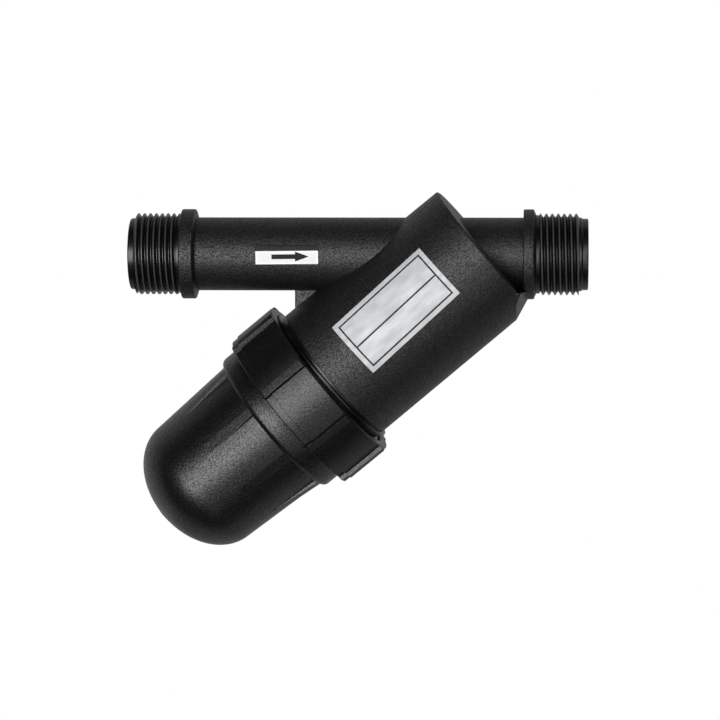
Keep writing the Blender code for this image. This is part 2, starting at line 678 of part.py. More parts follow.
def make_rating_label(frame, material):
    """The foil label, bent round the barrel and turned a little from its axis."""
    bm = bmesh.new()
    layers = []
    for height in (LABEL_GAP, LABEL_GAP + LABEL_THICKNESS):
        rows = []
        for column in (-0.5, 0.5):
            row = []
            for step in range(LABEL_STEPS + 1):
                p = column * LABEL_LENGTH
                q = (step / LABEL_STEPS - 0.5) * LABEL_WIDTH
                along = LABEL_MIDDLE + p * cos(LABEL_TILT) + q * sin(LABEL_TILT)
                radius = barrel_radius(along) + height
                around = (q * cos(LABEL_TILT) - p * sin(LABEL_TILT)) / radius
                angle = LABEL_TURN + around
                row.append(bm.verts.new((radius * cos(angle), radius * sin(angle), along)))
            rows.append(row)
        layers.append(rows)
    (low_left, low_right), (high_left, high_right) = layers
    strips = ((low_left, low_right), (high_left, high_right))
    sides = ((low_left, high_left), (low_right, high_right))
    for first, second in strips + sides:
        for step in range(LABEL_STEPS):
            bm.faces.new((first[step], first[step + 1], second[step + 1], second[step]))
    for step in (0, LABEL_STEPS):
        bm.faces.new((low_left[step], low_right[step], high_right[step], high_left[step]))
    return add_object("rating_label", bm, frame, material)


def make_arrow_label(material):
    """The white flow-arrow sticker on the pad's lower part."""
    start = PAD_START + (PAD_LENGTH - STICKER_LENGTH) / 2
    low = PAD_RISE - PAD_HEIGHT / 2 + STICKER_MARGIN
    outer = -(PAD_FACE + LABEL_GAP + LABEL_THICKNESS)
    return box(
        "flow_arrow_label", (start, outer, low),
        (start + STICKER_LENGTH, outer + LABEL_THICKNESS, low + STICKER_HEIGHT),
        None, material,
    )


def main():
    remove_startup_objects()
    black = principled("black_polypropylene", (0.018, 0.018, 0.019), 0.42)
    cap_black = principled("cap_polypropylene", (0.016, 0.016, 0.017), 0.38)
    grey = principled("cartridge_polypropylene", (0.05, 0.05, 0.052), 0.45)
    red = principled("disc_polypropylene", (0.42, 0.03, 0.02), 0.4)
    rubber = principled("seal_rubber", (0.012, 0.012, 0.012), 0.6)
    foil = principled("silver_foil", (0.62, 0.63, 0.64), 0.35, 0.9)
    paper = principled("white_film", (0.85, 0.85, 0.84), 0.45)

    forward = Vector((-cos(BARREL_SLANT), 0.0, -sin(BARREL_SLANT)))
    upward = Vector((-sin(BARREL_SLANT), 0.0, cos(BARREL_SLANT)))
    run_frame = axis_frame("run_axis", Vector((0, 0, 0)), Vector((1, 0, 0)))
    barrel_frame = axis_frame("barrel_axis", Vector((CROSSING, 0, 0)), forward)

    make_housing(run_frame, barrel_frame, forward, upward, black)
    make_cap(barrel_frame, cap_black)
    make_seals(barrel_frame, rubber)
    make_spine(barrel_frame, grey)
    make_discs(barrel_frame, red)
    make_clamp(barrel_frame, grey)
    make_rating_label(barrel_frame, foil)
    make_arrow_label(paper)


if __name__ == "__main__":
    main()
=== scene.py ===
"""Looks of the inline Y-type disc filter, laid out as a Blender add-on and run as a script.

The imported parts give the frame: +X runs along the pipe with the flow, +Z is up, and the
origin is the centre of the inlet's end face. Every piece is modelled on its own axis,
which is the pipe's or the barrel's, and then laid in the frame with its place in its mesh.
"""
from math import acos, atan, ceil, cos, pi, radians, sin, tan

import bpy
from bpy.props import FloatProperty, FloatVectorProperty, IntProperty, PointerProperty
from bpy.types import Operator, Panel, PropertyGroup
from mathutils import Matrix, Vector


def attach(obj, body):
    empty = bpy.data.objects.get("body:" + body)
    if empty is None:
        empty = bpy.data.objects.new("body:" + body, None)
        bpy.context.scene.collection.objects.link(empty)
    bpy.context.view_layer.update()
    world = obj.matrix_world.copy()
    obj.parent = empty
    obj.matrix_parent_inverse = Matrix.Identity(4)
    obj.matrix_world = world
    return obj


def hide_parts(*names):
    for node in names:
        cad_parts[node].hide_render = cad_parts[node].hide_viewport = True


bl_info = {
    "name": "Inline Disc Filter",
    "version": (1, 0, 0),
    "blender": (4, 5, 0),
    "location": "View3D > Sidebar > Disc Filter",
    "description": "Models a moulded Y-type disc filter with its screw cap, cartridge and labels",
    "category": "Add Mesh",
}

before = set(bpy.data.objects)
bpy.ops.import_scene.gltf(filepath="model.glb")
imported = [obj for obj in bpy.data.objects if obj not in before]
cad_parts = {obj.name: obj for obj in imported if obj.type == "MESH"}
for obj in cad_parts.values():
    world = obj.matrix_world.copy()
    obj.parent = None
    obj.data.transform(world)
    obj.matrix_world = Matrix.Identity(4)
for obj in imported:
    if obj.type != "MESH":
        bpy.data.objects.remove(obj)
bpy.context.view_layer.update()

MM = 0.001
WELD = 0.002 * MM            # points closer than this are one point
ON_PLANE = 0.0002 * MM       # points closer than this to a cutting plane lie on it
SMOOTH_ANGLE = radians(32)
PAST = 5.0 * MM              # how far a cutter runs past the face that it opens
RING = 4.0 * MM              # spacing of the rings along a long turned wall
SUNK = 1.0 * MM              # how far a web or grip reaches into the wall that it grows from
GAP = 0.3 * MM               # clearance between pieces that touch in the real filter
LAP = 0.2 * MM               # how far a thread laps the plain ring beside it
CORE_SINK = 0.4 * MM         # how far the plain core under a thread lies below its root
WIDE_TURN = 160              # steps of a full turn: barrel and cap
PIPE_TURN = 128              # pipe, bores, coarse threads and cap seal
SPIGOT_TURN = 96             # spigot threads and seat seal
DISC_TURN = 72               # discs, clamp plate and nut
SPINE_TURN = 64
STUD_TURN = 48               # stud and the nut's hole
CAMERA_PLACE = (0.16998, -1.29162, 0.08092)
CAMERA_TURN = (radians(84.5006), radians(0.1134), radians(3.3496))
LENS = 157.95                # millimetres, on a 36 mm sensor
LIT_POINT = Vector((0.093, 0.0, -0.045))    # the filter's middle, which the lamps face
WHITE = (1.0, 1.0, 1.0, 1.0)


def length(name, millimetres, description):
    """A length property, given in millimetres."""
    return FloatProperty(
        name=name, description=description, default=millimetres * MM, unit="LENGTH", precision=5,
    )


def angle(name, degrees, description):
    """An angle property, given in degrees."""
    return FloatProperty(
        name=name, description=description, default=radians(degrees), subtype="ANGLE",
    )


def share(name, value, description):
    """A plain number."""
    return FloatProperty(name=name, description=description, default=value, precision=4)


def count(name, value, description):
    """A whole number."""
    return IntProperty(name=name, description=description, default=value, min=1)


def colour(name, value, description):
    """A colour property with linear red, green and blue."""
    return FloatVectorProperty(
        name=name, description=description, default=value, subtype="COLOR", min=0.0, max=1.0,
    )


class RunPipeSizes(PropertyGroup):
    """Run pipe, spigots, flanges and the pad that carries the arrow."""

    total: length("Run length", 187.6, "From end face to end face")
    outside: length("Pipe radius", 15.0, "Outside of the plain pipe")
    bore: length("Bore radius", 12.0, "Inside of the pipe")
    lead: length("Lead radius", 14.6, "Plain ring in front of each thread")
    lead_length: length("Lead length", 2.3, "Length of that ring")
    lead_round: length("Lead rounding", 0.55, "Rounding of its outer edge")
    outlet_step: length("Outlet step", 1.5, "Plain step between the outlet's thread and lead")
    crest: length("Thread crest", 16.7, "Outside radius of the spigot threads")
    root: length("Thread root", 15.25, "Radius between the thread's ridges")
    pitch: length("Thread pitch", 2.43, "From ridge to ridge")
    inlet_ridge: length("First inlet ridge", 3.1, "First ridge along the top of the inlet spigot")
    outlet_ridge: length("First outlet ridge", 168.08, "The same on the outlet spigot")
    flange_face: length("Flange face", 21.2, "From each end to its flange")
    flange: length("Flange radius", 18.4, "Outside of the flanges")
    flange_lean: length("Flange lean", 1.0, "How far the flange's end face leans")
    flange_round: length("Flange rounding", 0.55, "Rounding of the flange's rim")
    inlet_flange: length("Inlet flange width", 6.5, "Along the pipe")
    outlet_flange: length("Outlet flange width", 5.2, "Along the pipe")
    runout: length("Run-out radius", 16.05, "Plain ring between thread and flange")
    runout_length: length("Run-out length", 1.5, "Length of that ring")
    pad_start: length("Pad start", 52.5, "Start of the arrow pad along the pipe")
    pad_length: length("Pad length", 25.7, "Along the pipe")
    pad_height: length("Pad height", 8.2, "Across the pipe")
    pad_rise: length("Pad rise", 0.5, "The pad's middle above the pipe's axis")
    pad_face: length("Pad face", 15.2, "The pad's flat face from the pipe's axis")
    pad_slope: length("Pad slope", 2.4, "Height of the pad's sloped upper part")
    pad_fall: length("Pad fall", 0.6, "How far that part falls back at its top")


class BarrelSizes(PropertyGroup):
    """Slanted barrel, its neck, chamber and webs."""

    crossing: length("Crossing", 142.9, "Where the barrel's axis meets the pipe's")
    slant: angle("Slant", 39.7, "Between the barrel's axis and the pipe's")
    head_face: length("Head face", -3.4, "Flat head, along the barrel from the crossing")
    head: length("Head radius", 30.55, "Barrel radius at the head")
    head_round: length("Head rounding", 0.9, "Rounding of the head's rim")
    mouth: length("Mouth radius", 31.1, "Barrel radius at the neck")
    neck_start: length("Neck start", 76.9, "Where the coarse thread begins")
    neck_root: length("Neck root", 31.0, "Radius between the coarse ridges")
    neck_crest: length("Neck crest", 32.6, "Radius over the coarse ridges")
    neck_pitch: length("Neck pitch", 4.0, "Travel of the cap in one turn")
    neck_ridge: length("Neck ridge", 78.6, "A ridge's middle on the barrel's camera side")
    thread_end: length("Thread end", 97.8, "Where the coarse thread stops")
    tip: length("Tip radius", 30.7, "Plain tip that the seal bears on")
    end: length("Neck end", 105.6, "End of the neck")
    chamber: length("Chamber radius", 28.0, "Inside of the barrel at the mouth")
    chamber_draft: length("Chamber draft", 0.4, "How much narrower the chamber's floor is")
    head_wall: length("Head wall", 2.5, "Thickness of the flat head")
    pocket: length("Pocket radius", 19.0, "Outlet pocket behind the seat")
    seat_start: length("Seat start", 9.0, "Pocket side of the seat plate")
    seat_plate: length("Seat plate", 3.0, "Thickness of the seat plate")
    socket_end: length("Socket end", 18.7, "End of the cartridge's socket")
    socket: length("Socket radius", 17.0, "Outside of the socket")
    socket_bore: length("Socket bore", 14.4, "Inside of the socket")
    corner_plane: length("Corner plane", 158.5, "Where the head's low corner is cut off")
    corner_width: length("Corner width", 19.8, "Half width of the drafted corner at the flange")
    corner_lap: length("Corner lap", 1.8, "How far the drafted corner's ridge laps the flange")
    web: length("Web thickness", 3.0, "Thickness of the gusset")
    web_round: length("Web rounding", 0.35, "Rounding of the gusset's edges")
    gusset_x: length("Gusset edge", 67.5, "Upright edge of the gusset")


class CapSizes(PropertyGroup):
    """Screw cap: collar, shoulder, bowl and dome in one moulding."""

    mouth: length("Collar start", 79.8, "Mouth of the collar along the barrel")
    collar_end: length("Collar end", 101.3, "Bowl end of the collar")
    collar: length("Collar radius", 37.15, "Outside of the collar")
    band: length("Band width", 3.3, "Slightly smaller band at the bowl end")
    band_step: length("Band step", 0.5, "How much smaller the band is")
    bore: length("Collar bore", 33.0, "Radius between the inner ridges")
    inner_crest: length("Inner crest", 31.4, "Radius over the inner ridges")
    bore_end: length("Bore end", 98.5, "End of the threaded bore")
    grips: count("Grips", 8, "Raised grips round the collar")
    grip: length("Grip radius", 38.7, "Outside of the grips")
    grip_width: length("Grip width", 3.4, "Across a grip's top")
    grip_draft: angle("Grip draft", 15.0, "Lean of the sides of grips and ribs")
    grip_slope: length("Grip slope", 0.5, "Slope at a grip's mouth end")
    grip_round: length("Grip rounding", 0.2, "Rounding of a grip's edges")
    grip_phase: angle("Grip phase", 20.0, "First grip, from the camera side")
    shoulder_crown: length("Shoulder crown", 104.0, "Where the shoulder reaches its radius")
    shoulder: length("Shoulder radius", 33.3, "Rounded shoulder behind the collar")
    shoulder_round: length("Shoulder rounding", 2.35, "Radius of the shoulder's end")
    shoulder_end: length("Shoulder end", 110.2, "Where the bowl starts")
    bowl: length("Bowl radius", 30.9, "At the shoulder")
    dome_start: length("Dome start", 147.5, "Where the dome starts")
    dome: length("Dome radius", 29.1, "Bowl radius at the dome")
    dome_length: length("Dome length", 21.8, "Height of the dome's ellipse")
    wall: length("Wall", 2.8, "Wall thickness of bowl and dome")
    seal_bore: length("Seal bore", 31.3, "Step that holds the seal")
    rib_height: length("Rib height", 1.35, "Bowl ribs at the shoulder")
    rib_end: length("Rib end", 136.0, "Where the bowl ribs have faded out")
    rib_sink: length("Rib sink", 0.25, "Depth of the ribs' faded end below the wall")
    boss: length("Boss radius", 13.0, "Inner boss that steadies the cartridge")
    boss_bore: length("Boss bore", 10.5, "Inside of the boss")
    gate: length("Gate radius", 3.4, "Flat gate mark on the dome's pole")
    gate_rise: length("Gate rise", 0.12, "Height of the gate mark over the pole")


class CartridgeSizes(PropertyGroup):
    """Spine, discs, clamp plate, nut and seals."""

    seal_inner: length("Seal inside", 28.6, "Inner radius of the cap's seal")
    seal: length("Seal thickness", 1.6, "Thickness of the cap's seal")
    top: length("Spine top", 9.8, "Start of the spine's neck")
    neck: length("Spine neck", 14.0, "Outside of the spine's neck")
    bore: length("Spine bore", 11.0, "Inside of the spine's neck")
    groove: length("Groove start", 13.0, "Groove for the seat seal")
    groove_width: length("Groove width", 2.6, "Width of that groove")
    groove_radius: length("Groove radius", 12.4, "Floor of that groove")
    flange: length("Spine flange", 3.0, "Thickness of the spine's flange")
    fins: count("Fins", 6, "Fins that carry the discs")
    fin: length("Fin thickness", 2.0, "Thickness of a fin")
    fin_play: length("Fin play", 0.5, "Between a fin and the discs' bore")
    core: length("Core radius", 5.0, "Middle of the finned part")
    stud: length("Stud radius", 4.0, "Stud for the clamp nut")
    stud_spare: length("Spare stud", 2.7, "How far the stud stands out of the nut")
    discs: count("Disc pairs", 36, "Pairs of discs in the stack")
    pair: length("Pair thickness", 2.7, "Thickness of a pair of discs")
    disc: length("Disc radius", 23.4, "Outside of the discs")
    disc_bore: length("Disc bore", 16.6, "Inside of the discs")
    clamp: length("Clamp thickness", 3.0, "Thickness of the clamp plate")
    hub: length("Hub radius", 9.0, "Hub of the clamp plate")
    hub_length: length("Hub length", 2.7, "Length of that hub")
    nut: length("Nut radius", 8.0, "Over the nut's corners")
    nut_length: length("Nut length", 6.0, "Length of the nut")


class LabelSizes(PropertyGroup):
    """Foil label on the barrel and arrow sticker on the pad."""

    foil_length: length("Foil length", 47.6, "Along the barrel")
    foil_width: length("Foil width", 25.3, "Round the barrel")
    film: length("Film thickness", 0.2, "Thickness of both labels")
    lift: length("Film lift", 0.06, "Glue line under both labels")
    foil_middle: length("Foil middle", 38.4, "Along the barrel from the crossing")
    foil_turn: angle("Foil turn", 9.6, "Round the barrel from the camera side")
    foil_tilt: angle("Foil tilt", 3.3, "How far the foil is stuck on out of line")
    margin: length("Foil margin", 2.25, "From the foil's edge to its printed frame")
    line: length("Printed line", 0.7, "Width of the printed lines")
    divider: share("Divider", 0.47, "The divider's place across the printed frame, from its top")
    sticker_length: length("Sticker length", 25.5, "Along the pipe")
    sticker_height: length("Sticker height", 5.3, "Across the pipe")
    sticker_rise: length("Sticker rise", 0.45, "From the pad's lower edge to the sticker")
    sticker_turn: angle("Sticker turn", 0.7, "How far the sticker is stuck on out of line")
    arrow_start: length("Arrow start", 6.5, "From the sticker's start to the arrow's tail")
    arrow_shaft: length("Arrow shaft", 9.6, "Length of the arrow's shaft")
    arrow_shaft_width: length("Arrow shaft width", 1.9, "Across the shaft")
    arrow_head: length("Arrow head", 5.6, "Length of the arrow's head")
    arrow_head_width: length("Arrow head width", 4.05, "Across the head")
    arrow_rise: length("Arrow rise", 0.35, "The arrow above the sticker's middle")
    ink: length("Ink thickness", 0.02, "Thickness of the printed arrow")


class FinishColours(PropertyGroup):
    """Colours of the mouldings, discs, seals and labels."""

    housing: colour("Housing", (0.0035, 0.0035, 0.0036), "Black moulded housing")
    # Crests: a painted highlight, a lighter colour on the spigot thread crests that stands in for
    # the light the glossy crests catch.
    crest: colour("Crests", (0.045, 0.048, 0.052), "Scuffed crests of the spigot threads")
    cap: colour("Cap", (0.0035, 0.0035, 0.0036), "Black moulded cap")
    cartridge: colour("Cartridge", (0.05, 0.05, 0.052), "Dark grey spine, clamp plate and nut")
    disc: colour("Discs", (0.42, 0.03, 0.02), "Red filter discs")
    seal: colour("Seals", (0.012, 0.012, 0.012), "Black rubber")
    foil: colour("Foil", (0.585, 0.60, 0.615), "Silver foil")
    film: colour("Film", (0.83, 0.825, 0.82), "White film")
    ink: colour("Ink", (0.012, 0.011, 0.009), "Black print")
    arrow: colour("Arrow", (0.013, 0.010, 0.007), "Printed arrow")


GROUPS = {
    "pipe": RunPipeSizes,
    "barrel": BarrelSizes,
    "cap": CapSizes,
    "cartridge": CartridgeSizes,
    "label": LabelSizes,
    "finish": FinishColours,
}


class Settings:
    """Reads one of the scene's groups of sizes or colours."""

    def __init__(self, group):
        self.group = group

    def __getattr__(self, name):
        return getattr(getattr(bpy.context.scene, f"disc_filter_{self.group}"), name)


pipe, barrel, cap, cartridge, label, colours = map(Settings, GROUPS)


# Shaping pieces


def deselect():
    """Leave every object unselected, in object mode."""
    if bpy.context.mode != "OBJECT":
        bpy.ops.object.mode_set(mode="OBJECT")
    bpy.ops.object.select_all(action="DESELECT")


def pick(piece):
    """Select one object alone, and make it the active one."""
    deselect()
    piece.select_set(True)
    bpy.context.view_layer.objects.active = piece


def edit(piece):
    """Open a piece in edit mode with all of it selected."""
    pick(piece)
    bpy.ops.object.mode_set(mode="EDIT")
    bpy.ops.mesh.select_all(action="SELECT")


def close_up():
    """Weld the open mesh, turn its faces outwards and leave edit mode."""
    bpy.ops.mesh.select_all(action="SELECT")
    bpy.ops.mesh.remove_doubles(threshold=WELD)
    bpy.ops.mesh.normals_make_consistent(inside=False)
    bpy.ops.object.mode_set(mode="OBJECT")


def trim(piece, point, normal):
    """Cut off what lies past a plane, where its normal points, and close the cut."""
    edit(piece)
    bpy.ops.mesh.bisect(
        plane_co=point, plane_no=normal, threshold=ON_PLANE, use_fill=True, clear_outer=True,
    )
    close_up()


def modify(piece, kind, **options):
    """Give a piece a modifier with these options, and apply it."""
    pick(piece)
    bpy.ops.object.modifier_add(type=kind)
    modifier = piece.modifiers[-1]
    for name, option in options.items():
        setattr(modifier, name, option)
    bpy.ops.object.modifier_apply(modifier=modifier.name)


def copies(piece, number):
    """Copies of a piece, each with its own mesh, in place of the piece."""
    made = []
    for _ in range(number):
        each = piece.copy()
        each.data = piece.data.copy()
        bpy.context.collection.objects.link(each)
        made.append(each)
    bpy.data.objects.remove(piece, do_unlink=True)
    return made


def draw_line(name, points):
    """Extrude one vertex through a line of points. The line stays open in edit mode."""
    deselect()
    bpy.ops.mesh.primitive_plane_add(size=MM)
    line = bpy.context.object
    line.name = name
    edit(line)
    bpy.ops.mesh.merge(type="CENTER")
    bpy.ops.transform.translate(value=points[0])
    for before, after in zip(points, points[1:]):
        step = Vector(after) - Vector(before)
        bpy.ops.mesh.extrude_region_move(TRANSFORM_OT_translate={"value": step})
    bpy.ops.mesh.select_all(action="SELECT")
    return line


def rounded(corners, steps=3):
    """Outline points from (along, radius) corners, where a third value rounds a corner."""
    outline = []
    for index, corner in enumerate(corners):
        here = Vector(corner[:2])
        if len(corner) == 2:
            outline.append(here)
            continue
        before = Vector(corners[index - 1][:2]) - here
        after = Vector(corners[(index + 1) % len(corners)][:2]) - here
        half = before.angle(after) / 2
        reach = corner[2] / tan(half)
        centre = here + (before.normalized() + after.normalized()).normalized() * (
            corner[2] / sin(half)
        )
        start = here + before.normalized() * reach - centre
        sweep = start.angle_signed(here + after.normalized() * reach - centre)
        for step in range(steps + 1):
            outline.append(centre + Matrix.Rotation(-sweep * step / steps, 2) @ start)
    return [tuple(point) for point in outline]


def ringed(outline, spacing):
    """The outline with more points on its long lines, so that shading stays local."""
    points = [outline[0]]
    for before, after in zip(outline, outline[1:]):
        parts = max(1, round((Vector(after) - Vector(before)).length / spacing))
        for part in range(1, parts + 1):
            points.append(tuple(Vector(before).lerp(Vector(after), part / parts)))
    return points


def turn_outline(name, outline, steps):
    """Spin an (along, radius) outline about Z. It is closed unless it starts on the axis."""
    points = [(radius, 0.0, along) for along, radius in outline]
    if outline[0][1] > WELD:
        points.append(points[0])
    piece = draw_line(name, points)
    bpy.ops.mesh.remove_doubles(threshold=WELD)
    bpy.ops.mesh.spin(steps=steps, angle=2 * pi, center=(0, 0, 0), axis=(0, 0, 1))
    close_up()
    return piece


def turn_solid(name, corners, steps, spacing=None):
    """Spin (along, radius) corners about Z into a solid that is closed on the axis."""
    outline = rounded([(corners[0][0], 0.0), *corners, (corners[-1][0], 0.0)])
    return turn_outline(name, ringed(outline, spacing) if spacing else outline, steps)


def push_out(name, outline, thickness, softness=0.0):
    """Fill a flat outline of 3-D points and thicken it by a vector, with softened edges."""
    piece = draw_line(name, list(outline) + [outline[0]])
    bpy.ops.mesh.remove_doubles(threshold=WELD)
    bpy.ops.mesh.edge_face_add()
    bpy.ops.mesh.extrude_region_move(TRANSFORM_OT_translate={"value": thickness})
    close_up()
    if softness:
        soften(piece, softness)
    return piece


def soften(piece, width):
    """Bevel every edge of a plain block or web."""
    edit(piece)
    bpy.ops.mesh.bevel(offset=width, offset_type="OFFSET", segments=2, affect="EDGES")
    close_up()


def block(name, low, high, softness=0.0):
    """A block between two corners, with softened edges."""
    outline = [
        (low[0], low[1], low[2]), (high[0], low[1], low[2]),
        (high[0], high[1], low[2]), (low[0], high[1], low[2]),
    ]
    return push_out(name, outline, (0.0, 0.0, high[2] - low[2]), softness)


def threaded_rod(name, tooth, pitch, low, high, steps):
    """A closed rod with a right-handed thread, cut square at low and high.

    tooth is one pitch of the outline as (along, radius), for the camera side.
    """
    first = tooth[0][0] - pitch * (ceil((tooth[0][0] - low) / pitch) + 1)
    rise = first - tooth[0][0]
    rod = draw_line(name, [(radius, 0.0, along + rise) for along, radius in tooth])
    modify(
        rod, "SCREW", axis="Z", screw_offset=pitch, iterations=ceil((high - first) / pitch) + 1,
        steps=steps, render_steps=steps, use_merge_vertices=True, merge_threshold=WELD,
    )
    trim(rod, (0.0, 0.0, low), (0.0, 0.0, -1.0))
    trim(rod, (0.0, 0.0, high), (0.0, 0.0, 1.0))
    edit(rod)
    bpy.ops.mesh.fill_holes(sides=0)
    close_up()
    return rod


def ridge_tooth(middle, pitch, root, crest, foot, top, soft):
    """One pitch of a thread outline whose ridge, foot and top half-wide, is at middle."""
    rise = [(-pitch / 2, root), (-foot, root), (-top, crest - soft), (-top * 0.45, crest)]
    return [(middle + along, radius) for along, radius in rise] + [
        (middle - along, radius) for along, radius in reversed(rise)
    ]


def combine(piece, tool, operation):
    """Join, cut or trim a piece with a tool, and use the tool up."""
    modify(piece, "BOOLEAN", operation=operation, solver="EXACT", object=tool)
    bpy.data.objects.remove(tool, do_unlink=True)
    edit(piece)
    bpy.ops.mesh.remove_doubles(threshold=ON_PLANE)
    bpy.ops.object.mode_set(mode="OBJECT")


def lay_in_frame(piece, axes):
    """Move a piece from its own axis into the frame, with its place in its mesh."""
    pick(piece)
    piece.matrix_world = axes
    bpy.ops.object.transform_apply(location=True, rotation=True, scale=True)
    return piece


def on_run(piece):
    """Lay a piece along the pipe: its Z along it, X to the camera side (-Y) and Y down."""
    axes = Matrix(((0, 0, 1, 0), (-1, 0, 0, 0), (0, -1, 0, 0), (0, 0, 0, 1)))
    return lay_in_frame(piece, axes)


def barrel_axes():
    """Z along the barrel towards the cap, X to the camera side and Y up, from the crossing."""
    c, s = cos(barrel.slant), sin(barrel.slant)
    return Matrix(((0, -s, -c, barrel.crossing), (-1, 0, 0, 0), (0, c, -s, 0), (0, 0, 0, 1)))


def on_barrel(piece):
    """Lay a piece along the barrel."""
    return lay_in_frame(piece, barrel_axes())


def finish_piece(piece, body, slot, material, *nodes):
    """Shade a piece, give it its material, and fit it to the frame in place of its nodes."""
    pick(piece)
    bpy.ops.object.shade_smooth_by_angle(angle=SMOOTH_ANGLE)
    modify(piece, "WEIGHTED_NORMAL", keep_sharp=True)
    piece.data.name = piece.name
    piece.data.materials.clear()
    piece.data.materials.append(material)
    for face in piece.data.polygons:
        face.material_index = 0
    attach(piece, body)
    if nodes:
        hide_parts(*nodes)
    return piece


# Materials


def maths(operation, swapped=False):
    """A method of Value that adds one Math node."""
    def method(self, *others):
        operands = (*others, self) if swapped else (self, *others)
        return self.finish.node(
            "ShaderNodeMath", dict(enumerate(operands)), operation=operation,
        )
    return method


class Value:
    """A socket of a material, on which Python's arithmetic adds Math nodes."""

    def __init__(self, finish, socket):
        self.finish = finish
        self.socket = socket

    __add__ = __radd__ = maths("ADD")
    __sub__, __rsub__ = maths("SUBTRACT"), maths("SUBTRACT", swapped=True)
    __mul__ = __rmul__ = maths("MULTIPLY")
    __pow__ = maths("POWER")
    __gt__, __lt__ = maths("GREATER_THAN"), maths("LESS_THAN")
    __abs__ = maths("ABSOLUTE")
    highest, lowest = maths("MAXIMUM"), maths("MINIMUM")


class Finish:
    """A material or world under construction, whose nodes come from one method."""

    def __init__(self, data):
        data.use_nodes = True
        self.data = data
        self.tree = data.node_tree
        self.shader = self.tree.nodes.get("Principled BSDF")

    def feed(self, socket, value):
        """Link a value to a socket, or set the socket to a plain number or colour."""
        if isinstance(value, Value):
            self.tree.links.new(value.socket, socket)
        else:
            socket.default_value = value

    def node(self, kind, inputs=None, output=0, **options):
        """A new node, whose options are set before its sockets, as one output's value."""
        made = self.tree.nodes.new(kind)
        for name, option in options.items():
            setattr(made, name, option)
        for name, value in (inputs or {}).items():
            self.feed(made.inputs[name], value)
        return Value(self, made.outputs[output])

    def set(self, **values):
        """Feed the shader's sockets."""
        for name, value in values.items():
            self.feed(self.shader.inputs[name.replace("_", " ")], value)

    def place(self):
        """Object coordinates."""
        return self.node("ShaderNodeTexCoord", output="Object")

    def split(self, vector):
        """The X, Y and Z of a vector."""
        first = self.node("ShaderNodeSeparateXYZ", {0: vector})
        return [Value(self, socket) for socket in first.socket.node.outputs]

    def ray(self, kind):
        """1 for rays of a kind and 0 for others."""
        return self.node("ShaderNodeLightPath", output=f"Is {kind} Ray")

    def mapping(self, vector, **moves):
        """A vector turned or stretched."""
        return self.node("ShaderNodeMapping", {"Vector": vector, **moves})

    def noise(self, vector, scale, detail=2.0, roughness=0.5):
        """Soft noise from 0 to 1."""
        return self.node("ShaderNodeTexNoise", {
            "Vector": vector, "Scale": scale, "Detail": detail, "Roughness": roughness,
        })

    def smooth_range(self, value, low, high):
        """0 below low, 1 above high, and a soft step between them."""
        return self.node(
            "ShaderNodeMapRange", {"Value": value, "From Min": low, "From Max": high},
            interpolation_type="SMOOTHSTEP", clamp=True,
        )

    def mix_colour(self, factor, first, second):
        """Two colours mixed, by the Mix node's colour sockets 6 and 7 and its output 2."""
        return self.node(
            "ShaderNodeMix", {0: factor, 6: first, 7: second}, 2, data_type="RGBA",
        )

    def bump(self, height, strength, distance):
        """Normals roughened by a height from 0 to 1."""
        return self.node(
            "ShaderNodeBump", {"Height": height, "Strength": strength, "Distance": distance},
        )


def new_finish(name):
    """The start of a new material."""
    return Finish(bpy.data.materials.new(name))


def shade(value, factor=1.0):
    """A colour with full alpha, darker or lighter by a factor."""
    return tuple(channel * factor for channel in value) + (1.0,)


def along_barrel(finish, place):
    """Distance along the barrel's axis from the crossing."""
    forward = Vector((-cos(barrel.slant), 0.0, -sin(barrel.slant)))
    moved = finish.node(
        "ShaderNodeVectorMath", {0: place, 1: (barrel.crossing, 0.0, 0.0)},
        operation="SUBTRACT",
    )
    return finish.node(
        "ShaderNodeVectorMath", {0: moved, 1: forward}, "Value", operation="DOT_PRODUCT",
    )


def turned_place(finish, place, stretch):
    """Coordinates turned in line with the barrel, and stretched along it by a factor."""
    return finish.mapping(
        place, Rotation=(0.0, barrel.slant - pi, 0.0), Scale=(1.0 / stretch, 1.0, 1.0),
    )


def grain(finish, place):
    """Height of spark-eroded moulding grain, from 0 to about 1."""
    coarse = finish.noise(place, 1300.0, detail=1.0)
    fine = finish.noise(place, 2600.0, detail=1.0)
    return coarse * 0.65 + fine * 0.35


def sparkle(finish, place):
    """Where the tips of the grain glint, from 0 to 1."""
    tips = finish.noise(place, 1750.0, detail=2.0, roughness=0.7)
    return finish.smooth_range(tips, 0.40, 0.62)


def speckled(finish, cloud, tips, base):
    """A moulding's colour, a little cloudy and lighter on the tips of the grain."""
    plain = finish.mix_colour(cloud, shade(base, 0.5), shade(base, 0.9))
    return finish.mix_colour(tips, plain, shade(base, 2.2))


